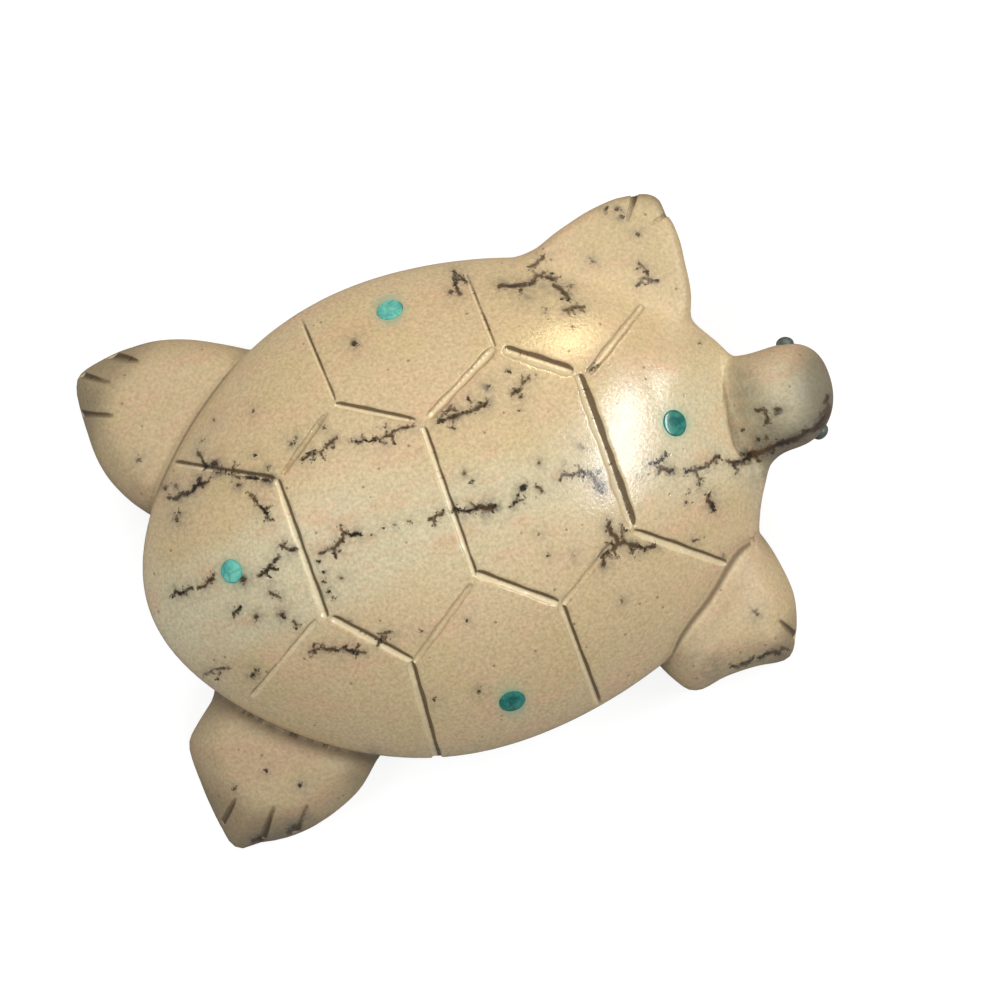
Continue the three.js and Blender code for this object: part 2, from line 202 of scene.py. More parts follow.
# Legs: the outline of each runs from the flank round the toes to the end of the shell, and its last two
# points are hidden in the shell. Join is the height of the leg's top at the shell's rim, rounding that of
# its upper edge, fillet the softness of its join with the shell, valley a hollow in its top along the shell,
# seam the depth of the groove at the shell and seamDark the half-width of the dark line in it, which is dirt
# and painted shade. The painted shade along the shell and the tone are shares, for the leg's colour.
legs = {
    "rearLeft": {
        "join": 9.2, "toe": 5.6, "rounding": 3.0, "crown": 1.1, "fillet": 0.4, "valley": 0.4,
        "paintedShade": 0.2, "seam": 0.17, "seamDark": 0.14, "tone": 0.84,
        "outline": [(-11.4, 20.2), (-13.6, 21.5), (-16, 22.9), (-19, 24.4), (-22, 25.3), (-24.5, 25.5),
                    (-27, 25.4), (-30, 24.8), (-31.1, 23.9), (-31.5, 22), (-31.6, 18.5), (-31.5, 16),
                    (-30.9, 13.5), (-29.6, 10.9), (-28, 8.8), (-26.2, 6.8), (-18, 4), (-9, 13)],
    },
    "rearRight": {
        "join": 8.8, "toe": 5.2, "rounding": 3.4, "crown": 1.5, "fillet": 0.3, "valley": 2.0,
        "paintedShade": 0.75, "seam": 0.0, "seamDark": 0.0, "tone": 0.82,
        "outline": [(-12.4, -19.8), (-14.5, -21.5), (-17, -23.7), (-20, -25.1), (-23, -25.9),
                    (-26, -26.1), (-28.4, -25.8), (-29.3, -25.9), (-30.6, -25.9), (-31.2, -25.2),
                    (-31.5, -24), (-31.8, -21), (-32, -18), (-32, -14.8), (-31.5, -13.5), (-30, -12.1),
                    (-28.2, -10.6), (-26.6, -8.8), (-18, -4), (-9, -13)],
    },
    "frontLeft": {
        "join": 10.2, "toe": 8.4, "rounding": 1.0, "crown": 0.25, "fillet": 1.6, "valley": 0.0,
        "paintedShade": 0.0, "seam": 0.0, "seamDark": 0.0, "tone": 0.93,
        "outline": [(13.6, 19.4), (15.2, 21.1), (17, 21.9), (19, 22.7), (21, 23.3), (23, 23.8),
                    (25.5, 24.1), (27, 24), (29, 23.6), (30, 22.7), (30.2, 21.3), (30.6, 20), (30.7, 18),
                    (30.5, 16), (30.3, 14), (29.9, 12.2), (29.1, 11), (26.8, 9), (18, 4), (9, 13)],
    },
    "frontRight": {
        "join": 10.5, "toe": 5.2, "rounding": 3.2, "crown": 1.7, "fillet": 0.4, "valley": 0.4,
        "paintedShade": 0.25, "seam": 0.2, "seamDark": 0.16, "tone": 0.97,
        "outline": [(14.7, -19.4), (15.4, -21.4), (16.2, -23), (17.2, -24.5), (18, -25), (19, -25.1),
                    (21, -24.7), (23, -24.6), (25, -24.7), (27, -25), (28.1, -24.8), (28.9, -23.8),
                    (29.9, -21.5), (30.4, -19), (30.2, -16.5), (29.6, -13.6), (28.6, -11.2),
                    (26.6, -9.2), (17, -4), (9, -13)],
    },
}
legShape = {"reach": 0.5, "swell": 0.05, "topFall": 0.96, "crownReach": 6.0, "crownLimit": 1.2,
            "soleRounding": 1.0, "outlineSteps": 5, "margin": 6.0, "sideFillet": 0.3, "filletLevels": (6, 9),
            "valleyReach": 3.0}
mapCell = 0.1

# Head and neck: a blunt nose in front of the thickest part, a neck that rises from the nape behind it
head = {
    "middle": 35.25,
    "reach": 40.65,
    "neckLength": 4.9,
    "neckLimit": 1.4,
    "root": 28.5,
    "halfWidth": 5.2,
    "crown": 15.0,
    "chin": 4.8,
    "nape": 9.4,
    "noseHeight": 8.8,
    "noseRoundness": 2.3,
    "noseTurn": 0.7,
    "noseLimit": 1.2,
    "leftFlare": 1.2,
    "rightFlare": 3.4,
    "neckRise": 2.2,
    "napeSoftness": 0.06,
    "tone": 0.82,
    # the next share is painted shade on the head's right flank
    "paintedShade": 0.6,
    "fillet": 0.8,
}


def join(a, b, width):
    # The nearer of two surfaces, with a hollow fillet of the given width where they meet
    closeness = np.maximum(width - np.abs(a - b), 0) / width
    return np.minimum(a, b) - closeness ** 2 * width / 4


def meet(a, b, radius):
    # The space inside both surfaces, its edge rounded to the radius
    a, b = a + radius, b + radius
    return np.minimum(np.maximum(a, b), 0) + np.hypot(np.maximum(a, 0), np.maximum(b, 0)) - radius


def planSpread(x, y):
    # 1 on the shell's rim: the sum of the squared shares, and their product times a pinch that grows
    # rearward, less a shoulder on each side of the neck, which sets in over the front quarter
    s = shell
    u, v = x / s["halfLength"], y / s["halfWidth"]
    shoulders = s["shoulder"] * np.exp(-((np.abs(y) - s["shoulderPlace"]) / s["shoulderSpread"]) ** 2)
    shoulders = shoulders * np.clip(u * 4 - 3, 0, 1)
    return u ** 2 + v ** 2 + (s["pinch"] - s["pinchToRear"] * u) * u ** 2 * v ** 2 - shoulders


def shellDistance(x, y, z):
    # The plan's spread plus the height above or below the rim raised to a power, divided by its own slope
    s = shell
    u, v = x / s["halfLength"], y / s["halfWidth"]
    pinch = s["pinch"] - s["pinchToRear"] * u
    rise = np.maximum(z - s["rimHeight"], 0) / s["domeHeight"]
    drop = np.maximum(s["rimHeight"] - z, 0) / s["flankHeight"]
    power = 1 / s["domeRoundness"]
    value = planSpread(x, y) - 1 + rise ** power + drop ** s["flankRoundness"]
    slopeX = (2 * u + 2 * pinch * u * v ** 2 - s["pinchToRear"] * u ** 2 * v ** 2) / s["halfLength"]
    slopeY = (2 * v + 2 * pinch * u ** 2 * v) / s["halfWidth"]
    slopeZ = power * rise ** (power - 1) / s["domeHeight"]
    slopeZ += s["flankRoundness"] * drop ** (s["flankRoundness"] - 1) / s["flankHeight"]
    steepness = np.sqrt(slopeX ** 2 + slopeY ** 2 + slopeZ ** 2)
    return meet(value / np.maximum(steepness, s["leastSteepness"]), s["bellyHeight"] - z, s["bellyRounding"])


def closedCurve(corners, steps):
    # A Catmull-Rom curve through the corners and back to the first, as one array of points
    p1 = np.array(corners, float)
    p0, p2, p3 = np.roll(p1, 1, 0), np.roll(p1, -1, 0), np.roll(p1, -2, 0)
    t = (np.arange(steps) / steps)[None, :, None]
    p0, p1, p2, p3 = (p[:, None] for p in (p0, p1, p2, p3))
    curve = p1 + t / 2 * (p2 - p0 + t * (2 * p0 - 5 * p1 + 4 * p2 - p3 + t * (3 * (p1 - p2) + p3 - p0)))
    return curve.reshape(-1, 2)


def outlineDistance(x, y, outline):
    # Distance to the nearest stretch of a closed outline, below zero inside it
    a, b = outline, np.roll(outline, -1, 0)
    along = b - a
    fromX, fromY = x[:, None] - a[:, 0], y[:, None] - a[:, 1]
    share = np.clip((fromX * along[:, 0] + fromY * along[:, 1]) / (along ** 2).sum(1), 0, 1)
    distance = np.hypot(fromX - share * along[:, 0], fromY - share * along[:, 1]).min(1)
    straddles = (a[:, 1] > y[:, None]) != (b[:, 1] > y[:, None])
    rise = np.where(along[:, 1] == 0, 1, along[:, 1])
    crossings = straddles & (fromX < along[:, 0] * fromY / rise)
    return np.where(crossings.sum(1) % 2 == 1, -distance, distance)


def mapOver(low, high, values):
    # A plan map: the values that a function gives on a grid of cells from one corner to the other
    count = np.ceil((np.array(high) - low) / mapCell).astype(int) + 1
    gx, gy = np.meshgrid(*(low[i] + mapCell * np.arange(count[i]) for i in (0, 1)), indexing="ij")
    return {"low": low, "grid": values(gx.ravel(), gy.ravel()).reshape(count)}


def readMap(planMap, x, y):
    # A plan map's value between its grid points, weighed from the four nearest
    grid, low = planMap["grid"], planMap["low"]
    gx = np.clip((x - low[0]) / mapCell, 0, grid.shape[0] - 1.001)
    gy = np.clip((y - low[1]) / mapCell, 0, grid.shape[1] - 1.001)
    ix, iy = gx.astype(int), gy.astype(int)
    fx, fy = gx - ix, gy - iy
    lower = grid[ix, iy] * (1 - fx) + grid[ix + 1, iy] * fx
    upper = grid[ix, iy + 1] * (1 - fx) + grid[ix + 1, iy + 1] * fx
    return lower * (1 - fy) + upper * fy


def legDistance(leg, x, y, z):
    # Upright sides over the outline, a top that falls to the toes and to its own edges, and a flat sole
    s = legShape
    low, high = leg["low"], leg["high"]
    near = (x > low[0]) & (x < high[0]) & (y > low[1]) & (y < high[1])
    distance = np.full(len(x), s["margin"])
    x, y, z = x[near], y[near], z[near]
    side = readMap(leg["map"], x, y) - s["swell"]
    outward = (np.sqrt(planSpread(x, y)) - 1) / s["reach"]
    top = leg["join"] + (leg["toe"] - leg["join"]) * outward
    fromRim = outward * s["reach"] * shell["halfWidth"]
    top -= leg["valley"] * np.clip(1 - fromRim / s["valleyReach"], 0, 1) ** 2
    top -= leg["crown"] * np.clip(1 + side / s["crownReach"], 0, s["crownLimit"]) ** 2
    body = meet(side, (z - top) * s["topFall"], leg["rounding"])
    distance[near] = meet(body, -z, s["soleRounding"])
    return distance


def headDistance(x, y, z):
    # Round cross-sections along the head: they shrink to the blunt nose, and spread and sink to the nape, by
    # powers of the share of the way there
    s = head
    forward = np.maximum((x - s["middle"]) / (s["reach"] - s["middle"]), 0)
    back = np.clip((s["middle"] - x) / s["neckLength"], 0, s["neckLimit"])
    bend = np.minimum(forward, s["noseLimit"]) ** 2
    rise = 1 - back ** s["neckRise"]
    rise = (rise + np.sqrt(rise ** 2 + s["napeSoftness"])) / 2
    top = s["nape"] + (s["crown"] - s["nape"]) * rise
    halfHeight = (top - s["chin"]) / 2
    halfWidth = s["halfWidth"] + np.where(y > 0, s["leftFlare"], s["rightFlare"]) * back ** 3
    centreY = s["noseTurn"] * bend
    centreZ = (top + s["chin"]) / 2
    centreZ = centreZ + (s["noseHeight"] - centreZ) * bend
    n = s["noseRoundness"]
    across = np.hypot((y - centreY) / halfWidth, (z - centreZ) / halfHeight)
    body = ((forward ** n + across ** n) ** (1 / n) - 1) * np.minimum(halfWidth, halfHeight)
    return np.maximum(body, s["root"] - x)


def stoneDistance(points, leastFillet=0.0):
    # The carved body before its lines are cut: shell, legs and head, each joined by its own fillet, or by the
    # least fillet where that is wider
    x, y, z = points.T
    notch = np.minimum(-readMap(napeMap, x, y), z - shell["napeLow"])
    body = meet(shellDistance(x, y, z), notch, shell["napeEdge"])
    for leg in legs.values():
        fillet = np.interp(z, legShape["filletLevels"], (legShape["sideFillet"], leg["fillet"]))
        body = join(body, legDistance(leg, x, y, z), np.maximum(fillet, leastFillet))
    body = join(body, headDistance(x, y, z), head["fillet"])
    return np.maximum(body, -z)


nape = np.array(shell["nape"])
napeLow, napeHigh = nape.min(0) - shell["napeMargin"], nape.max(0) + shell["napeMargin"]
napeMap = mapOver(napeLow, napeHigh, lambda x, y: outlineDistance(x, y, nape))
for leg in legs.values():
    outline = closedCurve(leg["outline"], legShape["outlineSteps"])
    leg["low"], leg["high"] = outline.min(0) - legShape["margin"], outline.max(0) + legShape["margin"]
    leg["map"] = mapOver(leg["low"], leg["high"], lambda x, y: outlineDistance(x, y, outline))

# Carved lines: start, end, width, the share of the width that a flat floor takes, and the share that the
# dark wall takes where there is no floor, which holds dirt and painted shade. A toe cut gives its start, end
# and width, and runs out at the toes.
shellCuts = [
    # across the back
    ((-14.8, 8.0), (-14.5, -6.1), 0.95, 0.0, 0.42),
    ((0.6, 8.3), (0.8, -6.9), 0.85, 0.0, 0.42),
    ((16.9, 8.4), (17.2, -7.1), 1.3, 0.0, 0.60),
    # left side, from the rear
    ((-23.9, 13.0), (-15.1, 8.4), 0.8, 0.0, 0.55),
    ((-14.0, 8.6), (-8.2, 12.8), 0.7, 0.3, 0.0),
    ((-6.8, 13.4), (-0.1, 9.5), 0.85, 0.0, 0.55),
    ((1.5, 9.3), (9.5, 13.6), 1.0, 0.5, 0.0),
    ((10.8, 13.2), (16.2, 9.2), 1.3, 0.0, 0.45),
    ((18.0, 8.5), (24.9, 13.0), 0.9, 0.5, 0.0),
    ((-7.6, 22.5), (-6.9, 14.0), 0.6, 0.0, 0.55),
    ((9.4, 21.5), (9.8, 14.0), 0.6, 0.0, 0.5),
    # right side, from the rear
    ((-24.0, -11.4), (-15.7, -6.4), 0.7, 0.0, 0.22),
    ((-13.8, -6.6), (-7.9, -12.9), 1.0, 0.0, 0.42),
    ((-7.5, -13.2), (0.0, -7.9), 0.8, 0.5, 0.0),
    ((1.1, -6.9), (7.6, -12.1), 1.0, 0.0, 0.42),
    ((8.2, -12.5), (14.5, -8.5), 0.8, 0.5, 0.0),
    ((17.2, -8.0), (24.7, -13.8), 1.1, 0.0, 0.36),
    ((-8.0, -13.3), (-8.6, -23.2), 1.1, 0.0, 0.45),
    ((8.0, -12.6), (8.4, -23.0), 0.9, 0.0, 0.48),
]
toeCuts = [
    ((-28.0, 22.9), (-31.0, 24.9), 1.0),
    ((-28.7, 19.6), (-32.6, 21.2), 1.0),
    ((-24.6, 24.0), (-27.8, 25.9), 1.2),
    ((-29.2, -20.8), (-32.2, -23.6), 0.9),
    ((-25.8, -22.8), (-29.2, -26.9), 1.0),
    ((-22.6, -23.7), (-25.5, -27.0), 0.9),
    ((26.4, 21.7), (28.4, 24.6), 0.8),
    ((28.6, 20.6), (31.6, 21.4), 0.8),
    ((28.2, -21.1), (29.8, -24.2), 1.1),
]

# Depths for a line 1 mm wide and for the toes; soft is for lines with a flat floor; waves are the radians per
# millimetre by which the width wavers, toeWidths the shares of its width where a toe cut starts and ends; the
# toe and soft dirt settings place dirt and painted shade in toe cuts and on flat floors
cutShape = {"depth": 0.6, "toeDepth": 0.6, "toeDarkShare": 0.45, "toeWidths": (0.5, 1.1), "toeDirtAndShade": 0.6,
            "toeDirtAndShadeLeast": 0.035, "softDepth": 0.8, "softDirtAndShade": 0.025, "softDirtAndShadeSlope": 0.4, "lightTurn": 35,
            "runOut": 0.7, "endWidth": 0.7, "overlap": 0.25, "waver": 0.08, "waves": (0.8, 2.1), "low": 2}

# Seams: a groove along the line where a leg leaves the shell. Its reach across the surface, and the heights
# between which it sets in
seamShape = {"reach": 0.5, "low": 4.0, "full": 7.0}


def cutProfile(x, y, start, end, width, floorShare, darkShare, openEnd):
    # One cut: the share of its depth, and a place across it that is above zero on its dark walls, where dirt
    # and painted shade go. Without a floor the dark wall is the one on the light's side, which faces away
    # from the light. The cut runs out over a short way at its ends.
    s = cutShape
    start, end = np.array(start), np.array(end)
    ahead = (end - start) / np.linalg.norm(end - start)
    start = start - ahead * s["overlap"]
    end = end + ahead * s["overlap"]
    length = np.linalg.norm(end - start)
    lightTurn = math.radians(s["lightTurn"])
    light = np.array((math.cos(lightTurn), math.sin(lightTurn)))
    across = np.array((-ahead[1], ahead[0]))
    if across @ light < 0:
        across = -across
    along = (x - start[0]) * ahead[0] + (y - start[1]) * ahead[1]
    aside = (x - start[0]) * across[0] + (y - start[1]) * across[1]
    fromEnd = along if openEnd else np.minimum(along, length - along)
    swell = np.sqrt(np.clip(fromEnd / s["runOut"], 0, 1))
    half = width / 2 * (s["endWidth"] + (1 - s["endWidth"]) * swell)
    longWave, shortWave = (np.sin(along * wave + place) for wave, place in zip(s["waves"], start))
    half *= 1 + s["waver"] * longWave + s["waver"] * shortWave
    if openEnd:
        half *= np.interp(along, (0, length), s["toeWidths"])
    within = (along > 0) & (along < length)
    if floorShare:
        trough = np.clip((half - np.abs(aside)) / (half * (1 - floorShare)), 0, 1)
        return np.where(within, trough * swell, 0), np.abs(aside) - half * floorShare
    middle = half * (1 - 2 * darkShare)
    trough = np.clip(np.minimum((aside + half) / (half + middle), (half - aside) / (half - middle)), 0, 1)
    return np.where(within, trough * swell, 0), aside - middle


def cutsAt(points):
    # How deep the carved lines are at each point, the deepest where two meet, and the place across that line
    s = cutShape
    x, y, z = points.T
    depth = np.zeros(len(points))
    aside = np.full(len(points), -1.0)

    def nearBox(low, high, level):
        return (x > low[0]) & (x < high[0]) & (y > low[1]) & (y < high[1]) & (z > level)

    def deepen(near, full, place):
        aside[near] = np.where(full > depth[near], place, aside[near])
        depth[near] = np.maximum(depth[near], full)

    rows = [(*row, s["depth"] * math.sqrt(row[2]), False) for row in shellCuts]
    rows += [(*row, 0.0, s["toeDarkShare"], s["toeDepth"], True) for row in toeCuts]
    for start, end, width, floorShare, darkShare, full, openEnd in rows:
        near = nearBox(np.minimum(start, end) - width, np.maximum(start, end) + width, s["low"])
        share, place = cutProfile(x[near], y[near], start, end, width, floorShare, darkShare, openEnd)
        # on flat floors and in toe cuts the place sets where dirt and painted shade lie, in toe cuts over the
        # whole cut
        if floorShare:
            share, place = share * s["softDepth"], place * s["softDirtAndShadeSlope"] - s["softDirtAndShade"]
        if openEnd:
            place = np.maximum(place * s["toeDirtAndShade"], s["toeDirtAndShadeLeast"])
        deepen(near, full * share, place)
    # seams: a shallow groove with a dark line of dirt and painted shade in the crease where a leg leaves the
    # shell
    for leg in legs.values():
        if leg["seam"]:
            near = nearBox(leg["low"], leg["high"], seamShape["low"])
            place = x[near], y[near], z[near]
            away = np.hypot(shellDistance(*place), legDistance(leg, *place))
            full = leg["seam"] * np.clip(1 - away / seamShape["reach"], 0, 1)
            full *= np.interp(place[2], (seamShape["low"], seamShape["full"]), (0, 1))
            deepen(near, full, leg["seamDark"] - away)
    return depth, aside


def carvedDistance(points):
    # The stone with its lines cut: the body's distance plus the depth of the cut
    return stoneDistance(points) + cutsAt(points)[0]


# Turquoise dots in the shell, and the eyes, whose level is the height at which they look out of the head
inlays = {
    "front": {"place": (24.4, 1.0), "diameter": 2.6, "tone": "deep"},
    "rear": {"place": (-22.0, 1.0), "diameter": 2.3, "tone": "pale"},
    "left": {"place": (1.1, 20.7), "diameter": 2.6, "tone": "pale"},
    "right": {"place": (0.3, -20.1), "diameter": 2.6, "tone": "deep"},
}
eyes = {
    "left": {"place": (37.4, 5.0), "level": 9.7, "diameter": 1.8, "tone": "eye"},
    "right": {"place": (38.0, -4.4), "level": 8.6, "diameter": 1.8, "tone": "eye"},
}
inlayShape = {"depth": 1.8, "crown": 0.12}
eyeShape = {"depth": 1.1, "crown": 0.7}

# Black veins: each stroke is its half-width and then its plan points
veinStrokes = [
    # rear left
    (0.16, (-21.5, 13.3), (-21.3, 12.3), (-21.0, 11.5)),
    (0.22, (-20.3, 11.0), (-18.9, 10.2), (-17.4, 9.3), (-15.5, 8.4)),
    (0.18, (-25.9, 10.0), (-25.0, 9.6), (-24.2, 9.8), (-23.2, 9.8), (-22.3, 10.2), (-21.4, 10.2)),
    (0.14, (-18.0, 8.0), (-17.2, 6.2), (-16.8, 5.0), (-17.0, 4.6)),
    (0.14, (-11.8, 9.2), (-11.0, 9.5), (-10.1, 9.5), (-9.3, 9.7), (-8.0, 10.2)),
    (0.12, (-6.6, 9.4), (-5.7, 9.1), (-5.1, 9.3)),
    (0.13, (-4.7, 8.8), (-3.4, 8.8), (-1.4, 9.1), (-0.3, 8.9)),
    # along the middle
    (0.17, (-28.5, 0.5), (-28.0, 0.9), (-27.3, 0.5), (-26.3, 0.7)),
    (0.17, (-25.7, 0.5), (-24.9, 0.5), (-24.0, 0.9)),
    (0.17, (-19.5, -0.3), (-18.8, 0.0), (-18.0, 0.4), (-17.1, 0.9)),
    (0.12, (-18.8, -0.2), (-18.5, -0.8)),
    (0.17, (-16.5, 1.9), (-15.8, 1.2), (-15.0, 1.0)),
    (0.17, (-13.0, -0.1), (-11.5, -0.1), (-10.8, 0.4), (-10.2, 1.0), (-9.5, 0.6), (-8.6, 0.3)),
    (0.13, (-10.1, 1.0), (-10.3, 1.9)),
    (0.13, (-1.7, -0.4), (-0.2, -0.1)),
    (0.24, (1.0, -0.1), (1.6, -0.6), (2.5, -0.8), (3.5, -0.7), (4.2, -1.1), (4.8, -1.1)),
    (0.16, (6.2, -1.7), (7.0, -1.3), (7.4, -0.8), (7.9, -0.2), (8.4, -0.2)),
    (0.15, (9.2, -0.6), (9.7, -1.2)),
    (0.17, (11.7, -0.7), (12.2, -0.3), (13.0, -0.7), (14.0, -0.6), (14.9, -1.2), (15.1, -2.0),
           (15.0, -2.5)),
    (0.15, (20.7, -2.0), (22.0, -2.1), (22.6, -1.6)),
    (0.17, (21.6, -2.7), (22.2, -3.3), (22.7, -3.4)),
    (0.17, (23.8, -4.0), (24.7, -4.1), (25.6, -4.1), (26.5, -3.9), (27.2, -3.5), (27.6, -3.7)),
    (0.14, (24.8, -4.2), (24.9, -5.0), (24.7, -5.7)),
    (0.18, (28.2, -4.2), (28.7, -4.6), (29.5, -4.8), (30.5, -4.5), (31.5, -4.6)),
    (0.13, (28.7, -4.8), (28.7, -5.7)),
    # the head
    (0.26, (30.4, -4.3), (31.6, -4.5), (33.0, -4.3), (34.5, -4.3), (36.0, -4.2), (37.4, -4.0)),
    (0.38, (37.4, -4.0), (38.3, -3.7), (39.1, -3.0), (39.5, -2.2)),
    (0.20, (39.5, -2.2), (39.7, -1.3)),
    (0.16, (32.5, -0.4), (33.4, -0.7), (33.3, -1.6)),
    # right side
    (0.14, (22.4, -23.9), (23.6, -24.0), (24.6, -23.7)),
    (0.17, (25.0, -23.9), (26.2, -23.8), (27.2, -24.1)),
    (0.14, (27.5, -23.6), (28.2, -24.2)),
    (0.14, (-23.2, -3.1), (-22.3, -2.6)),
    (0.14, (-18.9, -2.3), (-18.2, -3.0)),
    (0.13, (-17.7, -5.6), (-17.5, -6.2)),
    (0.10, (-28.0, -7.8), (-25.6, -8.0)),
    (0.17, (-16.9, -9.0), (-15.5, -9.3), (-14.5, -9.8), (-13.6, -10.0), (-12.5, -10.6), (-12.0, -10.8)),
    (0.15, (-10.6, -10.5), (-9.8, -9.9), (-9.0, -9.6)),
    (0.22, (13.2, -10.0), (13.3, -9.3), (14.6, -8.9), (15.1, -8.5), (15.8, -8.6), (16.3, -9.0), (16.9, -9.4),
           (17.6, -9.9), (18.6, -10.0)),
    (0.20, (15.0, -6.3), (14.9, -7.4), (15.3, -8.4)),
    (0.17, (16.1, -7.0), (15.9, -7.6), (15.9, -8.5)),
    (0.16, (16.3, -9.2), (16.3, -9.9)),
    (0.20, (25.2, -6.9), (25.3, -8.5)),
    # front left
    (0.15, (8.4, 22.3), (8.1, 21.0), (8.2, 20.0)),
    (0.15, (8.4, 22.3), (8.9, 21.6), (9.3, 20.8)),
    (0.20, (12.2, 19.5), (13.5, 19.0), (14.2, 18.9), (15.2, 18.7), (16.0, 19.3), (17.0, 18.9),
           (17.8, 18.4)),
    (0.20, (17.3, 17.8), (18.0, 16.9), (18.4, 16.0)),
    (0.16, (17.6, 15.1), (18.4, 15.2), (19.1, 14.9), (19.6, 14.9)),
    (0.14, (16.0, 20.3), (17.3, 20.8)),
    (0.13, (26.1, 17.2), (26.6, 16.4), (26.5, 15.5), (25.8, 15.5), (25.2, 15.2)),
    (0.12, (26.5, 15.5), (27.2, 15.0)),
    (0.18, (2.3, 8.6), (4.7, 8.6), (6.2, 8.5), (7.4, 8.9)),
    (0.15, (2.3, 8.8), (3.9, 9.6)),
    (0.12, (3.5, 8.0), (3.4, 7.4)),
    (0.12, (5.8, 9.3), (5.7, 9.9)),
    (0.15, (10.0, 8.9), (10.8, 8.9), (11.2, 9.4), (12.0, 9.8)),
    (0.12, (18.1, 8.6), (19.0, 8.9)),
]
# Black spots: place and half-width
veinSpots = [
    (-20.3, 11.7, 0.28), (-25.8, 11.0, 0.18), (-24.7, 10.9, 0.15), (-22.2, 10.7, 0.22), (-25.6, 7.7, 0.20),
    (-25.2, 8.2, 0.15), (-18.7, 8.9, 0.20), (-15.3, 9.6, 0.15), (-8.8, 11.6, 0.14), (-12.3, 11.1, 0.18),
    (-11.7, 11.5, 0.15), (-3.3, 18.6, 0.22), (-21.2, -0.1, 0.32), (15.3, -2.7, 0.32), (33.1, -1.8, 0.25),
    (34.5, -1.0, 0.28), (31.8, -3.2, 0.18), (32.6, -3.3, 0.16), (-21.1, -4.1, 0.22), (-18.6, -4.7, 0.25),
    (-23.3, -9.4, 0.22), (-22.9, -9.1, 0.15), (-25.3, -19.0, 0.12), (-28.8, -19.7, 0.12),
    (-22.5, -21.4, 0.15), (-2.5, -18.1, 0.14), (-7.0, -17.5, 0.12), (26.1, -19.4, 0.16), (26.2, -19.7, 0.16),
    (-7.6, 0.0, 0.09), (-6.3, 0.3, 0.08), (-5.1, 0.2, 0.10), (-3.6, 0.1, 0.08), (-13.4, -0.9, 0.12),
    (-13.3, -2.0, 0.14), (-13.5, -3.0, 0.12), (-13.4, -3.9, 0.16), (-13.2, -4.6, 0.10), (-11.8, -3.1, 0.12),
    (-6.0, -10.6, 0.10), (-12.5, -7.4, 0.10), (-1.4, -11.0, 0.10), (8.1, -5.1, 0.10), (8.4, -7.5, 0.08),
    (10.7, -8.3, 0.12), (3.0, 2.9, 0.14), (3.5, 1.9, 0.14), (10.3, 1.5, 0.14), (14.9, 1.6, 0.12),
    (-14.9, 15.5, 0.09), (-19.0, 15.9, 0.08), (-20.8, 14.3, 0.08), (-16.2, 11.2, 0.10), (15.8, 15.7, 0.10),
    (17.8, 13.3, 0.09), (10.2, 7.1, 0.10), (29.3, 7.8, 0.08), (30.6, -1.8, 0.10), (22.9, -6.8, 0.12),
    (23.6, -6.0, 0.10), (22.2, -23.8, 0.10), (23.1, -24.0, 0.12), (24.0, -24.1, 0.12), (25.1, -23.9, 0.12),
    (26.0, -23.8, 0.14), (27.1, -24.2, 0.14), (28.2, -24.8, 0.12), (-24.5, -25.3, 0.30),
    (-25.1, -25.6, 0.22), (-28.2, -25.4, 0.36), (-28.9, -25.3, 0.24), (24.8, -13.1, 0.12),
    (22.5, -10.7, 0.14), (13.8, -14.0, 0.12), (7.4, 20.5, 0.16), (18.9, 17.2, 0.16), (24.7, 23.4, 0.16),
    (25.8, 23.1, 0.18), (26.0, 22.3, 0.20), (26.9, 20.1, 0.16), (21.8, 18.9, 0.16), (7.9, 10.3, 0.20),
    (10.7, 8.3, 0.14), (10.4, 11.1, 0.12), (-2.9, 9.7, 0.12), (-3.6, 8.3, 0.14), (-27.4, 14.5, 0.14),
    (-11.2, -0.5, 0.14), (25.3, -6.9, 0.20),
]
# Soft grey stains: place, radius and strength. The stains at the nape (x 31 to 33), along the head's right
# flank beside its black vein, and on the front-right leg's lower rear edge (x 19 to 20) are painted shade.
stainsAndPaintedShade = [
    (1.8, -0.6, 1.1, 0.95), (3.8, -1.0, 1.3, 1.0), (15.2, -1.6, 1.2, 1.0), (15.6, -3.2, 1.0, 0.9),
    (14.8, 1.7, 0.6, 0.8), (10.3, 1.5, 0.5, 0.9), (12.7, 0.7, 0.4, 0.7), (3.0, 2.8, 0.4, 0.6),
    (3.5, 1.8, 0.4, 0.6), (19.4, -2.8, 0.7, 0.6), (25.2, -7.3, 0.9, 0.6), (14.4, 17.6, 1.2, 0.7),
    (16.4, 18.0, 1.0, 0.7), (31.2, -6.6, 1.2, 0.7), (30.5, -5.4, 0.9, 0.6), (34.0, -5.2, 1.0, 0.8),
    (36.5, -5.0, 1.0, 0.8), (38.6, -4.0, 0.8, 0.8), (-11.6, -3.2, 0.5, 0.6), (-18.9, -1.2, 1.0, 0.5),
    (-16.0, 0.8, 0.9, 0.5), (-11.0, 0.3, 0.9, 0.5), (-0.5, 6.6, 0.4, 0.5), (8.2, 21.3, 0.8, 0.5),
    (-28.6, 12.0, 0.6, 0.4), (24.2, -24.0, 1.1, 0.6), (27.2, -24.2, 1.1, 0.6), (-13.9, -10.3, 0.9, 0.5),
    (-9.0, -10.0, 0.9, 0.7), (4.4, 8.8, 1.0, 0.6), (11.0, 9.2, 0.8, 0.4), (-23.0, -24.6, 0.8, 0.8),
    (-26.0, -25.6, 0.9, 0.9), (-17.0, -22.8, 1.2, 0.5), (-14.6, -21.0, 1.0, 0.6), (31.9, 1.8, 1.2, 0.6),
    (31.6, 0.0, 1.1, 0.55), (32.2, 3.7, 1.1, 0.45), (33.0, -2.8, 1.5, 0.5), (25.2, -24.1, 1.2, 0.7),
    (27.6, -24.0, 1.0, 0.7), (20.2, -23.4, 1.8, 0.65), (19.0, -21.8, 1.4, 0.45),
]

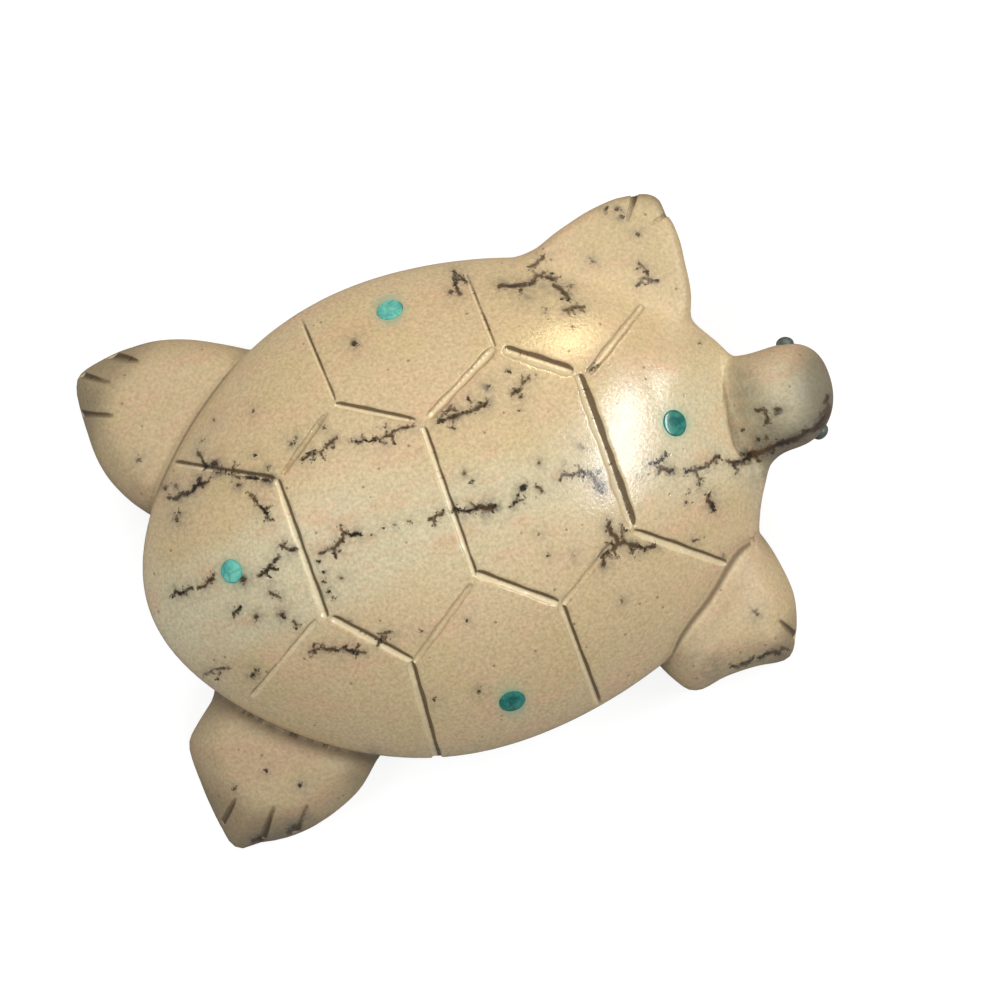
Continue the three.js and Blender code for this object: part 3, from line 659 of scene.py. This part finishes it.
# How the strokes are drawn: pieces that wander and vary in width, side twigs, and the fading halo, at full
# strength beside a stroke of haloWidth
veinShape = {"seed": 11, "pieceLength": 0.45, "uneven": (0.7, 1.3), "wander": 0.09, "fullness": 0.86,
             "twigsPerMillimetre": 1.2, "twigLength": (0.3, 1.0), "twigHalfWidth": 0.09, "twigStrength": 0.5,
             "low": (-34.0, -28.0), "high": (42.0, 28.0), "reach": 2.8, "haloReach": 0.55, "haloWidth": 0.2}


def veinSegments():
    # Each stroke as short wandering segments, with side twigs at places drawn from a seeded generator
    s = veinShape
    draw = np.random.default_rng(s["seed"])
    rows = [(x, y, x + 0.01, y, half, 1.0) for x, y, half in veinSpots]
    for half, *corners in veinStrokes:
        corners = np.array(corners)
        for start, end in zip(corners[:-1], corners[1:]):
            length = np.linalg.norm(end - start)
            pieces = max(1, round(length / s["pieceLength"]))
            line = start + (end - start) * np.linspace(0, 1, pieces + 1)[:, None]
            line[1:-1] += draw.normal(0, s["wander"], (pieces - 1, 2))
            widths = half * s["fullness"] * draw.uniform(*s["uneven"], pieces)
            rows += [(*a, *b, w, 1.0) for a, b, w in zip(line[:-1], line[1:], widths)]
            for _ in range(draw.poisson(length * s["twigsPerMillimetre"])):
                root = start + (end - start) * draw.uniform()
                turn = draw.uniform(0, 2 * math.pi)
                reach = draw.uniform(*s["twigLength"])
                tip = root + reach * np.array((math.cos(turn), math.sin(turn)))
                rows.append((*root, *tip, s["twigHalfWidth"], s["twigStrength"]))
    return np.array(rows)


def veinMaps():
    # Plan maps of the distance from the nearest stroke's edge, and of the halo that fades away from it
    # together with the stains, some of which are painted shade
    s = veinShape
    low = np.array(s["low"])
    gap = mapOver(low, s["high"], lambda x, y: np.full(len(x), s["reach"]))
    haloAndShade = mapOver(low, s["high"], lambda x, y: np.zeros(len(x)))
    size = np.array(gap["grid"].shape)
    for x0, y0, x1, y1, half, strength in veinSegments():
        first = np.floor((np.minimum((x0, y0), (x1, y1)) - s["reach"] - low) / mapCell).astype(int)
        last = np.ceil((np.maximum((x0, y0), (x1, y1)) + s["reach"] - low) / mapCell).astype(int)
        first, last = np.maximum(first, 0), np.minimum(last, size)
        gx = low[0] + mapCell * np.arange(first[0], last[0])[:, None]
        gy = low[1] + mapCell * np.arange(first[1], last[1])[None, :]
        length2 = (x1 - x0) ** 2 + (y1 - y0) ** 2
        share = np.clip(((gx - x0) * (x1 - x0) + (gy - y0) * (y1 - y0)) / length2, 0, 1)
        distance = np.hypot(gx - x0 - share * (x1 - x0), gy - y0 - share * (y1 - y0)) - half
        window = (slice(first[0], last[0]), slice(first[1], last[1]))
        gap["grid"][window] = np.minimum(gap["grid"][window], distance)
        fade = strength * half / s["haloWidth"] * np.exp(-np.maximum(distance, 0) / s["haloReach"])
        haloAndShade["grid"][window] = np.maximum(haloAndShade["grid"][window], fade)
    for x, y, radius, strength in stainsAndPaintedShade:
        away2 = mapOver(low, s["high"], lambda gx, gy: (gx - x) ** 2 + (gy - y) ** 2)["grid"]
        haloAndShade["grid"] = np.maximum(haloAndShade["grid"], strength * np.exp(-away2 / radius ** 2))
    return gap, haloAndShade


# Mesh of the stone: a net of cells over the field, drawn onto its surface and made finer where lines, veins
# and settings need it. An edge is the longest that a kind of place keeps: by its level, over veins, in cuts
# and on their dark walls, along the nape, and around the turquoise.
netSettings = {
    "cell": 0.9, "low": (-34.0, -28.5, -1.5), "high": (43.0, 28.5, 24.0), "leastFillet": 2.0,
    "step": 0.004, "leastSlope": 0.3, "longestMove": 0.6, "passes": 9,
    "levels": (1.0, 4.0, 6.0), "levelEdges": (1.8, 1.1, 0.7),
    "veinEdge": 0.19, "veinReach": 0.12, "veinLevel": 5,
    "cutEdge": 0.4, "cutLeast": 0.01,
    "wallEdge": 0.17, "wallLeast": 0.05, "wallAside": -0.5,
    "napeEdge": 0.2, "napeReach": 0.7, "napeEnd": 32.5, "napeLevel": 7,
    "dotEdge": 0.22, "dotReach": 0.3, "dotLevel": 4,
}


def netOfField(field, s):
    # A vertex in the middle of each cell that the surface passes, and two triangles across each grid
    # edge whose ends lie on different sides of it
    low = np.array(s["low"])
    count = np.ceil((np.array(s["high"]) - low) / s["cell"]).astype(int)
    lines = [low[i] + s["cell"] * np.arange(count[i]) for i in range(3)]
    grid = np.stack(np.meshgrid(*lines, indexing="ij"), -1)
    inside = field(grid.reshape(-1, 3)).reshape(count) < 0
    corners = sum(inside[i:count[0] - 1 + i, j:count[1] - 1 + j, k:count[2] - 1 + k].astype(int)
                  for i in (0, 1) for j in (0, 1) for k in (0, 1))
    active = (corners > 0) & (corners < 8)
    number = np.full(active.shape, -1)
    number[active] = np.arange(active.sum())
    points = low + (np.argwhere(active) + 0.5) * s["cell"]
    triangles = []
    for axis in range(3):
        ahead = np.roll(inside, -1, axis)
        start = np.argwhere(inside != ahead)
        b, c = np.eye(3, dtype=int)[[(axis + 1) % 3, (axis + 2) % 3]]
        ring = [number[tuple((start - shift).T)] for shift in (0 * b, b, b + c, c)]
        quads = np.stack(ring, 1)
        outward = inside[tuple(start.T)]
        quads[~outward] = quads[~outward][:, ::-1]
        triangles += [quads[:, [0, 1, 2]], quads[:, [0, 2, 3]]]
    return points, np.concatenate(triangles)


def ontoSurface(points, field, rounds):
    # Newton steps along the field's slope, which is worked out from small steps along each axis
    s = netSettings
    h = s["step"]
    for _ in range(rounds):
        value = field(points)
        slope = np.stack([(field(points + h * axis) - value) / h for axis in np.eye(3)], 1)
        move = slope * (value / np.maximum((slope ** 2).sum(1), s["leastSlope"]))[:, None]
        length = np.linalg.norm(move, axis=1, keepdims=True)
        points = points - move * np.minimum(1, s["longestMove"] / np.maximum(length, 1e-9))
    return points


def edgesOf(triangles, count):
    # Each edge once, and for each triangle the numbers of its three edges
    pairs = np.sort(triangles[:, [[0, 1], [1, 2], [2, 0]]].reshape(-1, 2), 1)
    keys, back = np.unique(pairs[:, 0] * count + pairs[:, 1], return_inverse=True)
    return np.stack((keys // count, keys % count), 1), back.reshape(-1, 3)


def relax(points, triangles, rounds, share=0.5):
    # Moves each point towards the mean of its neighbours, along the surface only
    edges, _ = edgesOf(triangles, len(points))
    ends = np.concatenate((edges, edges[:, ::-1]))
    degree = np.bincount(ends[:, 0], minlength=len(points))
    for _ in range(rounds):
        total = np.stack([np.bincount(ends[:, 0], points[ends[:, 1], i], len(points)) for i in range(3)], 1)
        move = total / degree[:, None] - points
        normal = pointNormals(points, triangles)
        move -= normal * (move * normal).sum(1, keepdims=True)
        points = points + share * move
    return points


def pointNormals(points, triangles):
    # The sum of the areas' directions around each point, as unit length
    a, b, c = (points[triangles[:, i]] for i in range(3))
    facing = np.cross(b - a, c - a)
    total = np.zeros_like(points)
    for i in range(3):
        total += np.stack([np.bincount(triangles[:, i], facing[:, j], len(points)) for j in range(3)], 1)
    return total / np.linalg.norm(total, axis=1, keepdims=True)


def splitLongEdges(points, triangles, wanted):
    # Splits each edge longer than wanted, and first the longest edge of every triangle that is touched
    edges, back = edgesOf(triangles, len(points))
    ends = points[edges]
    length = np.linalg.norm(ends[:, 0] - ends[:, 1], axis=1)
    middle = ends.mean(1)
    split = length > wanted(middle)
    first = length[back].argmax(1)
    rows = np.arange(len(triangles))
    longest = back[rows, first]
    while True:
        touched = split[back].any(1)
        if split[longest[touched]].all():
            break
        split[longest[touched]] = True
    number = np.full(len(edges), -1)
    number[split] = len(points) + np.arange(split.sum())
    turn = (first[:, None] + np.arange(3)) % 3
    a, b, c = triangles[rows[:, None], turn].T
    ab, bc, ca = number[back[rows[:, None], turn]].T
    kept = ab < 0
    hasBc, hasCa = ~kept & (bc >= 0), ~kept & (ca >= 0)
    lacksBc, lacksCa = ~kept & (bc < 0), ~kept & (ca < 0)
    # Kept whole, or cut from the longest edge's middle to the far corner, and each half again where needed
    parts = [(kept, a, b, c), (lacksCa, a, ab, c), (lacksBc, ab, b, c), (hasBc, ab, b, bc),
             (hasBc, ab, bc, c), (hasCa, a, ab, ca), (hasCa, ab, c, ca)]
    triangles = np.concatenate([np.stack((p[m], q[m], r[m]), 1) for m, p, q, r in parts])
    return np.concatenate((points, middle[split])), triangles


def dotPlaces():
    # The plan place and the radius of each turquoise dot
    return [(np.array(dot["place"]), dot["diameter"] / 2) for dot in inlays.values()]


def wantedEdge(points):
    # The longest edge that a place may keep
    s = netSettings
    x, y, z = points.T
    wanted = np.interp(z, s["levels"], s["levelEdges"])
    nearVein = (readMap(veinGap, x, y) < s["veinReach"]) & (z > s["veinLevel"])
    wanted = np.where(nearVein, s["veinEdge"], wanted)
    depth, aside = cutsAt(points)
    wanted = np.where(depth > s["cutLeast"], s["cutEdge"], wanted)
    wanted = np.where((depth > s["wallLeast"]) & (aside > s["wallAside"]), s["wallEdge"], wanted)
    nearNape = (np.abs(readMap(napeMap, x, y)) < s["napeReach"]) & (x < s["napeEnd"]) & (z > s["napeLevel"])
    wanted = np.where(nearNape, np.minimum(wanted, s["napeEdge"]), wanted)
    for place, radius in dotPlaces():
        ring = np.abs(np.hypot(x - place[0], y - place[1]) - radius)
        wanted = np.where((ring < s["dotReach"]) & (z > s["dotLevel"]), s["dotEdge"], wanted)
    return wanted


def makeStoneNet(s):
    # The net of the field with its narrow hollows filled, drawn onto the stone, evened out, made finer step
    # by step, and carved last
    points, triangles = netOfField(lambda places: stoneDistance(places, s["leastFillet"]), s)
    points = ontoSurface(points, stoneDistance, 4)
    points = ontoSurface(relax(points, triangles, 6), stoneDistance, 3)
    for _ in range(s["passes"]):
        count = len(points)
        points, triangles = splitLongEdges(points, triangles, wantedEdge)
        if len(points) == count:
            break
        points[count:] = ontoSurface(points[count:], stoneDistance, 2)
    points = ontoSurface(relax(points, triangles, 2, 0.5), stoneDistance, 2)
    points = ontoSurface(points, carvedDistance, 5)
    return ontoSurface(relax(points, triangles, 1, 0.3), carvedDistance, 3), triangles


veinGap, veinHaloAndShade = veinMaps()
print("vein maps worked out")
stonePoints, stoneTriangles = makeStoneNet(netSettings)
print("net drawn onto the stone:", len(stoneTriangles), "triangles")


# Turquoise pieces: each a turned peg with a domed face, set square to the stone's surface
def heightOver(place):
    # The height over a plan point where a ray from above meets the stone, halved in steps
    low, high = shell["rimHeight"], shell["rimHeight"] + shell["domeHeight"] + 1
    for _ in range(30):
        middle = (low + high) / 2
        inside = stoneDistance(np.array([(*place, middle)]))[0] < 0
        low, high = (middle, high) if inside else (low, middle)
    return low


def settingAt(point):
    # The nearest point of the stone, with two directions along its surface and one out of it. The first is
    # square to y, or to z where the stone faces along y.
    point = ontoSurface(point[None], stoneDistance, 6)[0]
    h = netSettings["step"]
    out = np.array([stoneDistance((point + h * axis)[None])[0] for axis in np.eye(3)])
    out /= np.linalg.norm(out)
    side = np.cross((0, 1, 0) if abs(out[1]) < 0.7 else (0, 0, 1), out)
    side /= np.linalg.norm(side)
    return {"point": point, "side": side, "ahead": np.cross(out, side), "out": out}


# Pegs: a seat a little narrower than the peg, a small edge below the dome, and a hole wider by the gap
pegShape = {"sides": 48, "seatWidth": 0.97, "seatHeight": 0.9, "edge": 0.05, "domeRings": 14, "gap": 0.04,
            "holeTop": 1.0, "sharpAngle": 50}


def turnedPeg(profile, setting):
    # Rings of a profile's radii and heights turned about the setting's outward line, a point at each end
    profile = np.array(profile)
    sides = pegShape["sides"]
    turn = np.arange(sides) / sides * 2 * math.pi
    circle = np.cos(turn)[:, None] * setting["side"] + np.sin(turn)[:, None] * setting["ahead"]
    rings = profile[1:-1, 0, None, None] * circle + profile[1:-1, 1, None, None] * setting["out"]
    ends = profile[[0, -1], 1, None] * setting["out"]
    points = setting["point"] + np.concatenate((ends, rings.reshape(-1, 3)))
    first = 2 + np.arange(sides)
    following = 2 + (np.arange(sides) + 1) % sides
    ringStart = sides * np.arange(len(profile) - 3)[:, None]
    low, lowNext = ringStart + first, ringStart + following
    quads = np.stack((low, lowNext, lowNext + sides, low + sides), -1).reshape(-1, 4)
    last = sides * (len(profile) - 3)
    bottom = np.stack((np.zeros(sides, int), following, first), 1)
    top = np.stack((np.ones(sides, int), first + last, following + last), 1)
    return points, quads.tolist() + bottom.tolist() + top.tolist()


def pegProfile(radius, depth, crown):
    # Seat, side and edge, and a dome of a quarter turn whose height is the crown
    s = pegShape
    rows = [(0, -depth), (radius * s["seatWidth"], -depth), (radius, -depth * s["seatHeight"]),
            (radius, -s["edge"])]
    for angle in np.linspace(0, math.pi / 2, s["domeRings"] + 1)[:-1]:
        rows.append((radius * math.cos(angle), crown * math.sin(angle)))
    return rows + [(0, crown)]


def holeProfile(radius, depth):
    # A plain cylinder from the seat to well above the stone
    return [(0, -depth), (radius, -depth), (radius, pegShape["holeTop"]), (0, pegShape["holeTop"])]


def finishPiece(piece, material, sharpAngle):
    # One material, and smooth shading but for edges sharper than the angle
    piece.data.materials.clear()
    piece.data.materials.append(material)
    piece.data.shade_smooth()
    piece.data.set_sharp_from_angle(angle=math.radians(sharpAngle))


def makeTurquoise():
    # Dots and eyes as pieces, and the holes for them
    holes = []
    gap = pegShape["gap"]
    for kind, nodeKind, pegs, s in (("dot", "inlay", inlays, inlayShape), ("eye", "eye", eyes, eyeShape)):
        for name, peg in pegs.items():
            level = peg["level"] if "level" in peg else heightOver(peg["place"])
            setting = settingAt(np.array((*peg["place"], level)))
            radius = peg["diameter"] / 2
            solid = turnedPeg(pegProfile(radius, s["depth"], s["crown"]), setting)
            piece = addPiece("turquoise_" + kind + "_" + name, *solid, "turquoise", nodeKind + "_" + name)
            finishPiece(piece, turquoiseMaterials[peg["tone"]], pegShape["sharpAngle"])
            holes.append(turnedPeg(holeProfile(radius + gap, s["depth"] + gap), setting))
    return holes


def drill(piece, holes):
    # Cuts all holes out of the piece at once
    points = np.concatenate([p for p, _ in holes])
    faces, start = [], 0
    for p, f in holes:
        faces += [[corner + start for corner in face] for face in f]
        start += len(p)
    tool = addObject("holes", meshInMetres("holes", points, faces))
    cut = piece.modifiers.new("holes", "BOOLEAN")
    cut.object = tool
    cut.operation = "DIFFERENCE"
    cut.solver = "MANIFOLD"
    bpy.context.view_layer.update()
    drilled = piece.evaluated_get(bpy.context.evaluated_depsgraph_get())
    cutMesh = bpy.data.meshes.new_from_object(drilled)
    piece.modifiers.clear()
    piece.data = cutMesh
    bpy.data.objects.remove(tool)


# Marks on the stone: reach of the green bleed and the level that it stays above, softness of the borders
# between parts, where the head and its flank of painted shade start, the line of painted shade where a leg
# leaves the shell and its reach, reach of the polish
markShape = {"dotReach": 0.35, "dotLevel": 5, "border": 1.5, "headFrom": 29, "headHalfWidth": 9,
             "flankFrom": 1.0, "flankReach": 3.5, "shadeLine": 0.3, "shadeReach": 1.1, "shadeNear": 1,
             "polishReach": 3}


def markStone(piece, s):
    # What the stone's finish needs to know at each vertex: tone of the part it belongs to, painted shade
    # where a leg leaves the shell and on the head's right flank, polish of the shell itself, distance to the
    # veins and their halo with the stains, some of them painted shade, depth in a carved line and place
    # across it, where its dirt and painted shade go, nearness of a dot
    mesh = piece.data
    points = np.zeros(len(mesh.vertices) * 3, np.float32)
    mesh.vertices.foreach_get("co", points)
    points = points.reshape(-1, 3).astype(float) / millimetre - planMiddle
    x, y, z = points.T
    glow = np.zeros(len(points))
    for place, radius in dotPlaces():
        away = np.maximum(np.hypot(x - place[0], y - place[1]) - radius, 0)
        glow = np.maximum(glow, np.exp(-away / s["dotReach"]) * (z > s["dotLevel"]))
    depth, aside = cutsAt(points)
    body = shellDistance(x, y, z)
    others = headDistance(x, y, z)
    onHead = np.clip((body - others) / s["border"], 0, 1) * np.clip((x - s["headFrom"]) / s["border"], 0, 1)
    onHead *= np.clip(s["headHalfWidth"] - np.abs(y), 0, 1)
    tone = 1 - (1 - head["tone"]) * onHead
    # painted shade on the head's right flank, the side away from the light
    paintedShade = head["paintedShade"] * onHead * np.clip((-y - s["flankFrom"]) / s["flankReach"], 0, 1)
    # painted shade on each leg along the shell's rim, where the shell shades it
    fromRim = (np.sqrt(planSpread(x, y)) - 1) * shell["halfWidth"]
    nearRim = np.exp(-np.abs(fromRim - s["shadeLine"]) / s["shadeReach"])
    for leg in legs.values():
        toLeg = legDistance(leg, x, y, z)
        paintedShade = np.maximum(paintedShade, (toLeg < s["shadeNear"]) * leg["paintedShade"] * nearRim)
        tone -= (1 - leg["tone"]) * np.clip((body - toLeg) / s["border"], 0, 1)
        others = np.minimum(others, toLeg)
    marks = {
        "tone": tone,
        "paintedShade": paintedShade,
        "polish": np.clip((others - body) / s["polishReach"], 0, 1),
        "veinGap": readMap(veinGap, x, y),
        "veinHaloAndShade": readMap(veinHaloAndShade, x, y),
        "cutDepth": depth / cutShape["depth"],
        "cutAside": aside,
        "dotGlow": glow,
    }
    for name, numbers in marks.items():
        attribute = mesh.attributes.new(name, "FLOAT", "POINT")
        attribute.data.foreach_set("value", numbers.astype(np.float32))
    return list(marks)


# Materials are written as steps: a step's kind, then its inputs in order, where a word is a colour, a mark of
# the piece or an earlier step. A range's numbers are the span that it reads and what the span's two ends
# become. A kind gives its node, settings, inputs and output.
stepKinds = {
    "stretch": ("ShaderNodeMapping", {}, ("Vector", "Scale"), 0),
    "sideways": ("ShaderNodeSeparateXYZ", {}, ("Vector",), "Y"),
    "noise": ("ShaderNodeTexNoise", {}, ("Vector", "Scale", "Detail", "Roughness"), "Fac"),
    "fromCell": ("ShaderNodeTexVoronoi", {}, ("Vector", "Scale"), "Distance"),
    "drawnCell": ("ShaderNodeTexVoronoi", {}, ("Vector", "Scale"), "Color"),
    "fromCellEdge": ("ShaderNodeTexVoronoi", {"feature": "DISTANCE_TO_EDGE"}, ("Vector", "Scale"),
                     "Distance"),
    "range": ("ShaderNodeMapRange", {}, range(5), 0),
    "easedRange": ("ShaderNodeMapRange", {"interpolation_type": "SMOOTHSTEP"}, range(5), 0),
    "size": ("ShaderNodeMath", {"operation": "ABSOLUTE"}, range(1), 0),
    "sum": ("ShaderNodeMath", {"operation": "ADD"}, range(2), 0),
    "product": ("ShaderNodeMath", {"operation": "MULTIPLY"}, range(2), 0),
    "clampedProduct": ("ShaderNodeMath", {"operation": "MULTIPLY", "use_clamp": True}, range(2), 0),
    "productAndSum": ("ShaderNodeMath", {"operation": "MULTIPLY_ADD"}, range(3), 0),
    "above": ("ShaderNodeMath", {"operation": "GREATER_THAN"}, range(2), 0),
    "cover": ("ShaderNodeMix", {"data_type": "RGBA"}, ("Factor_Float", "A_Color", "B_Color"), 2),
    "shade": ("ShaderNodeMix", {"data_type": "RGBA", "blend_type": "MULTIPLY"},
              ("Factor_Float", "A_Color", "B_Color"), 2),
    "bump": ("ShaderNodeBump", {}, ("Height", "Distance", "Strength"), 0),
}


def makeMaterial(name, colours, steps, shaderInputs, marks=()):
    # Colours, places on the object and marks first, then each step in turn, and the shader's inputs last
    material = bpy.data.materials.new(name)
    material.use_nodes = True
    tree = material.node_tree
    found = {key: linearColour(colour) for key, colour in colours.items()}
    found["place"] = addNode(tree, "ShaderNodeTexCoord").outputs["Object"]
    for mark in marks:
        found[mark] = addNode(tree, "ShaderNodeAttribute", {"attribute_name": mark}).outputs["Fac"]
    for step, (kind, *values) in steps.items():
        nodeType, settings, sockets, output = stepKinds[kind]
        inputs = {socket: found.get(value, value) for socket, value in zip(sockets, values)}
        found[step] = addNode(tree, nodeType, settings, inputs).outputs[output]
    shader = tree.nodes["Principled BSDF"]
    for socket, value in shaderInputs.items():
        if value in found:
            tree.links.new(found[value], shader.inputs[socket])
        else:
            shader.inputs[socket].default_value = value
    return material


# Calcite-rich stone, sawn, ground and polished to a satin: a soft sheen over fine grain and open pits
# dirt is also painted shade in the cuts, chalk also painted light on their lit walls, the halo grey also
# painted shade at some stains, and the grime grey painted shade along the legs' joins and the head's flank
stoneColours = {"tan": "#C5B08A", "cream": "#C8BE9E", "rose": "#CBAB89", "olive": "#C3AF84",
                "vein": "#29221A", "veinBrown": "#533F29", "haloAndShadeGrey": "#746E60", "dirtAndShade": "#4A3820",
                "chalkAndLight": "#E6D9B4", "speckBrown": "#6B5236", "bleed": "#7FA88E", "paintedShadeGrey": "#5C544A"}
stoneSteps = {
    # broad patches of tan, olive, cream and rose, some drawn out along the turtle as the stone's layers are,
    # and the cream mostly in a band along the middle
    "layered": ("stretch", "place", (0.35, 1.0, 1.0)),
    "patch": ("noise", "layered", 1 / (13.0 * millimetre), 3.0, 0.55),
    "mottle": ("noise", "layered", 1 / (3.2 * millimetre), 6.0, 0.65),
    "blotch": ("noise", "place", 1 / (6.0 * millimetre), 4.0, 0.6),
    "across": ("sideways", "place"),
    "fromMiddle": ("size", "across"),
    "inBand": ("productAndSum", "fromMiddle", -1 / (9.0 * millimetre), 1.25),
    "creamPlace": ("productAndSum", "patch", 3.0, "inBand"),
    "oliveShare": ("easedRange", "blotch", 0.42, 0.66, 0.0, 0.75),
    "creamShare": ("easedRange", "creamPlace", 1.5, 2.5, 0.0, 0.9),
    "roseShare": ("easedRange", "mottle", 0.46, 0.68, 0.0, 0.75),
    "withOlive": ("cover", "oliveShare", "tan", "olive"),
    "withCream": ("cover", "creamShare", "withOlive", "cream"),
    "withRose": ("cover", "roseShare", "withCream", "rose"),
    # dark and light grains, and the tone of each part of the turtle
    "grain": ("noise", "place", 1 / (0.35 * millimetre), 3.0, 0.6),
    "grainLight": ("range", "grain", 0.3, 0.7, 0.81, 1.16),
    "light": ("product", "grainLight", "tone"),
    "grained": ("shade", 1.0, "withRose", "light"),
    # soft grey-brown halo around the veins, and the stains, some of which are painted shade: at the nape, on
    # the head's right flank and on the front-right leg's lower edge
    "haloNoise": ("noise", "place", 1 / (0.8 * millimetre), 4.0, 0.7),
    "haloBroken": ("range", "haloNoise", 0.3, 0.62),
    "haloAndShadeShare": ("clampedProduct", "veinHaloAndShade", "haloBroken"),
    "haloedAndShaded": ("cover", "haloAndShadeShare", "grained", "haloAndShadeGrey"),
    # brown specks: a few of the cells of a fine net hold one
    "fromSpeck": ("fromCell", "place", 1 / (1.3 * millimetre)),
    "speckDraw": ("drawnCell", "place", 1 / (1.3 * millimetre)),
    "speckSize": ("easedRange", "fromSpeck", 0.07, 0.16, 1.0, 0.0),
    "speckPick": ("above", "speckDraw", 0.66),
    "speck": ("product", "speckSize", "speckPick"),
    "speckShare": ("product", "speck", 0.6),
    "specked": ("cover", "speckShare", "haloedAndShaded", "speckBrown"),
    # carved lines: dirt and wax with painted shade on the steep wall, which faces away from the light, and
    # fresh pale stone with painted light on the gentle one, which faces it
    "inCut": ("easedRange", "cutDepth", 0.04, 0.3),
    "steepSide": ("easedRange", "cutAside", -0.02, 0.1, 0.0, 0.85),
    "dirtAndShadeShare": ("product", "inCut", "steepSide"),
    "gentleSide": ("easedRange", "cutAside", -0.12, 0.0, 0.55, 0.0),
    "chalkAndLightShare": ("product", "inCut", "gentleSide"),
    "chalkedAndLit": ("cover", "chalkAndLightShare", "specked", "chalkAndLight"),
    "dirtiedAndShaded": ("cover", "dirtAndShadeShare", "chalkedAndLit", "dirtAndShade"),
    # painted shade where the legs leave the shell and on the head's right flank, and green bleed around the
    # turquoise dots
    "paintedShaded": ("cover", "paintedShade", "dirtiedAndShaded", "paintedShadeGrey"),
    "bleedShare": ("product", "dotGlow", 0.55),
    "stained": ("cover", "bleedShare", "paintedShaded", "bleed"),
    # black veins with ragged edges, brown in places
    "raggedBroad": ("noise", "place", 1 / (0.6 * millimetre), 4.0, 0.7),
    "raggedEdge": ("range", "raggedBroad", 0.3, 0.7, -0.12, 0.1),
    "outlier": ("noise", "place", 1 / (0.33 * millimetre), 3.0, 0.6),
    "outlierReach": ("range", "outlier", 0.54, 0.76, 0.0, -0.58),
    "raggedBoth": ("sum", "raggedEdge", "outlierReach"),
    "veinEdge": ("sum", "veinGap", "raggedBoth"),
    "veinShare": ("easedRange", "veinEdge", -0.14, 0.12, 1.0, 0.0),
    "brownPlace": ("noise", "place", 1 / (1.6 * millimetre), 3.0, 0.6),
    "brownShare": ("easedRange", "brownPlace", 0.36, 0.58),
    "veinTone": ("cover", "brownShare", "vein", "veinBrown"),
    "veined": ("cover", "veinShare", "stained", "veinTone"),
    # satin on the shell, duller elsewhere: grain in the gloss, pits and specks in the relief
    "smooth": ("range", "polish", 0.0, 1.0, 0.5, 0.17),
    "gloss": ("productAndSum", "mottle", 0.12, "smooth"),
    "pits": ("productAndSum", "speck", -0.8, "grain"),
    "relief": ("bump", "pits", 0.03 * millimetre, 0.9),
}
stoneShader = {"Base Color": "veined", "Roughness": "gloss", "Normal": "relief", "IOR": 1.6,
               "Specular IOR Level": 0.65}
stoneSharpAngle = 75

# Turquoise, ground and polished: glossy, mottled, with threads of dark matrix
turquoiseTones = {
    "pale": ({"base": "#6FBFAE", "cloud": "#4FA39A", "matrix": "#2E6F66"}, 0.3),
    "deep": ({"base": "#388477", "cloud": "#1D625D", "matrix": "#123F3F"}, 0.2),
    "eye": ({"base": "#5A6660", "cloud": "#434F4A", "matrix": "#232B29"}, 0.45),
}
turquoiseSteps = {
    "clouds": ("noise", "place", 1 / (1.1 * millimetre), 4.0, 0.6),
    "cloudShare": ("easedRange", "clouds", 0.4, 0.62),
    "clouded": ("cover", "cloudShare", "base", "cloud"),
    "thread": ("fromCellEdge", "place", 1 / (1.4 * millimetre)),
    "threadShare": ("easedRange", "thread", 0.0, 0.12, 0.35, 0.0),
    "threaded": ("cover", "threadShare", "clouded", "matrix"),
    "relief": ("bump", "clouds", 0.02 * millimetre, 0.5),
}
turquoiseShader = {"Base Color": "threaded", "Normal": "relief", "IOR": 1.61}

turquoiseMaterials = {}
for tone, (colours, roughness) in turquoiseTones.items():
    shaderInputs = {**turquoiseShader, "Roughness": roughness}
    material = makeMaterial("polished turquoise " + tone, colours, turquoiseSteps, shaderInputs)
    turquoiseMaterials[tone] = material
stone = addPiece("carved_stone", stonePoints, stoneTriangles.tolist(), "stone", "turtle_body")
drill(stone, makeTurquoise())
marks = markStone(stone, markShape)
stoneMaterial = makeMaterial("satin veined stone", stoneColours, stoneSteps, stoneShader, marks)
finishPiece(stone, stoneMaterial, stoneSharpAngle)
print("stone drilled and finished:", len(stone.data.polygons), "faces")
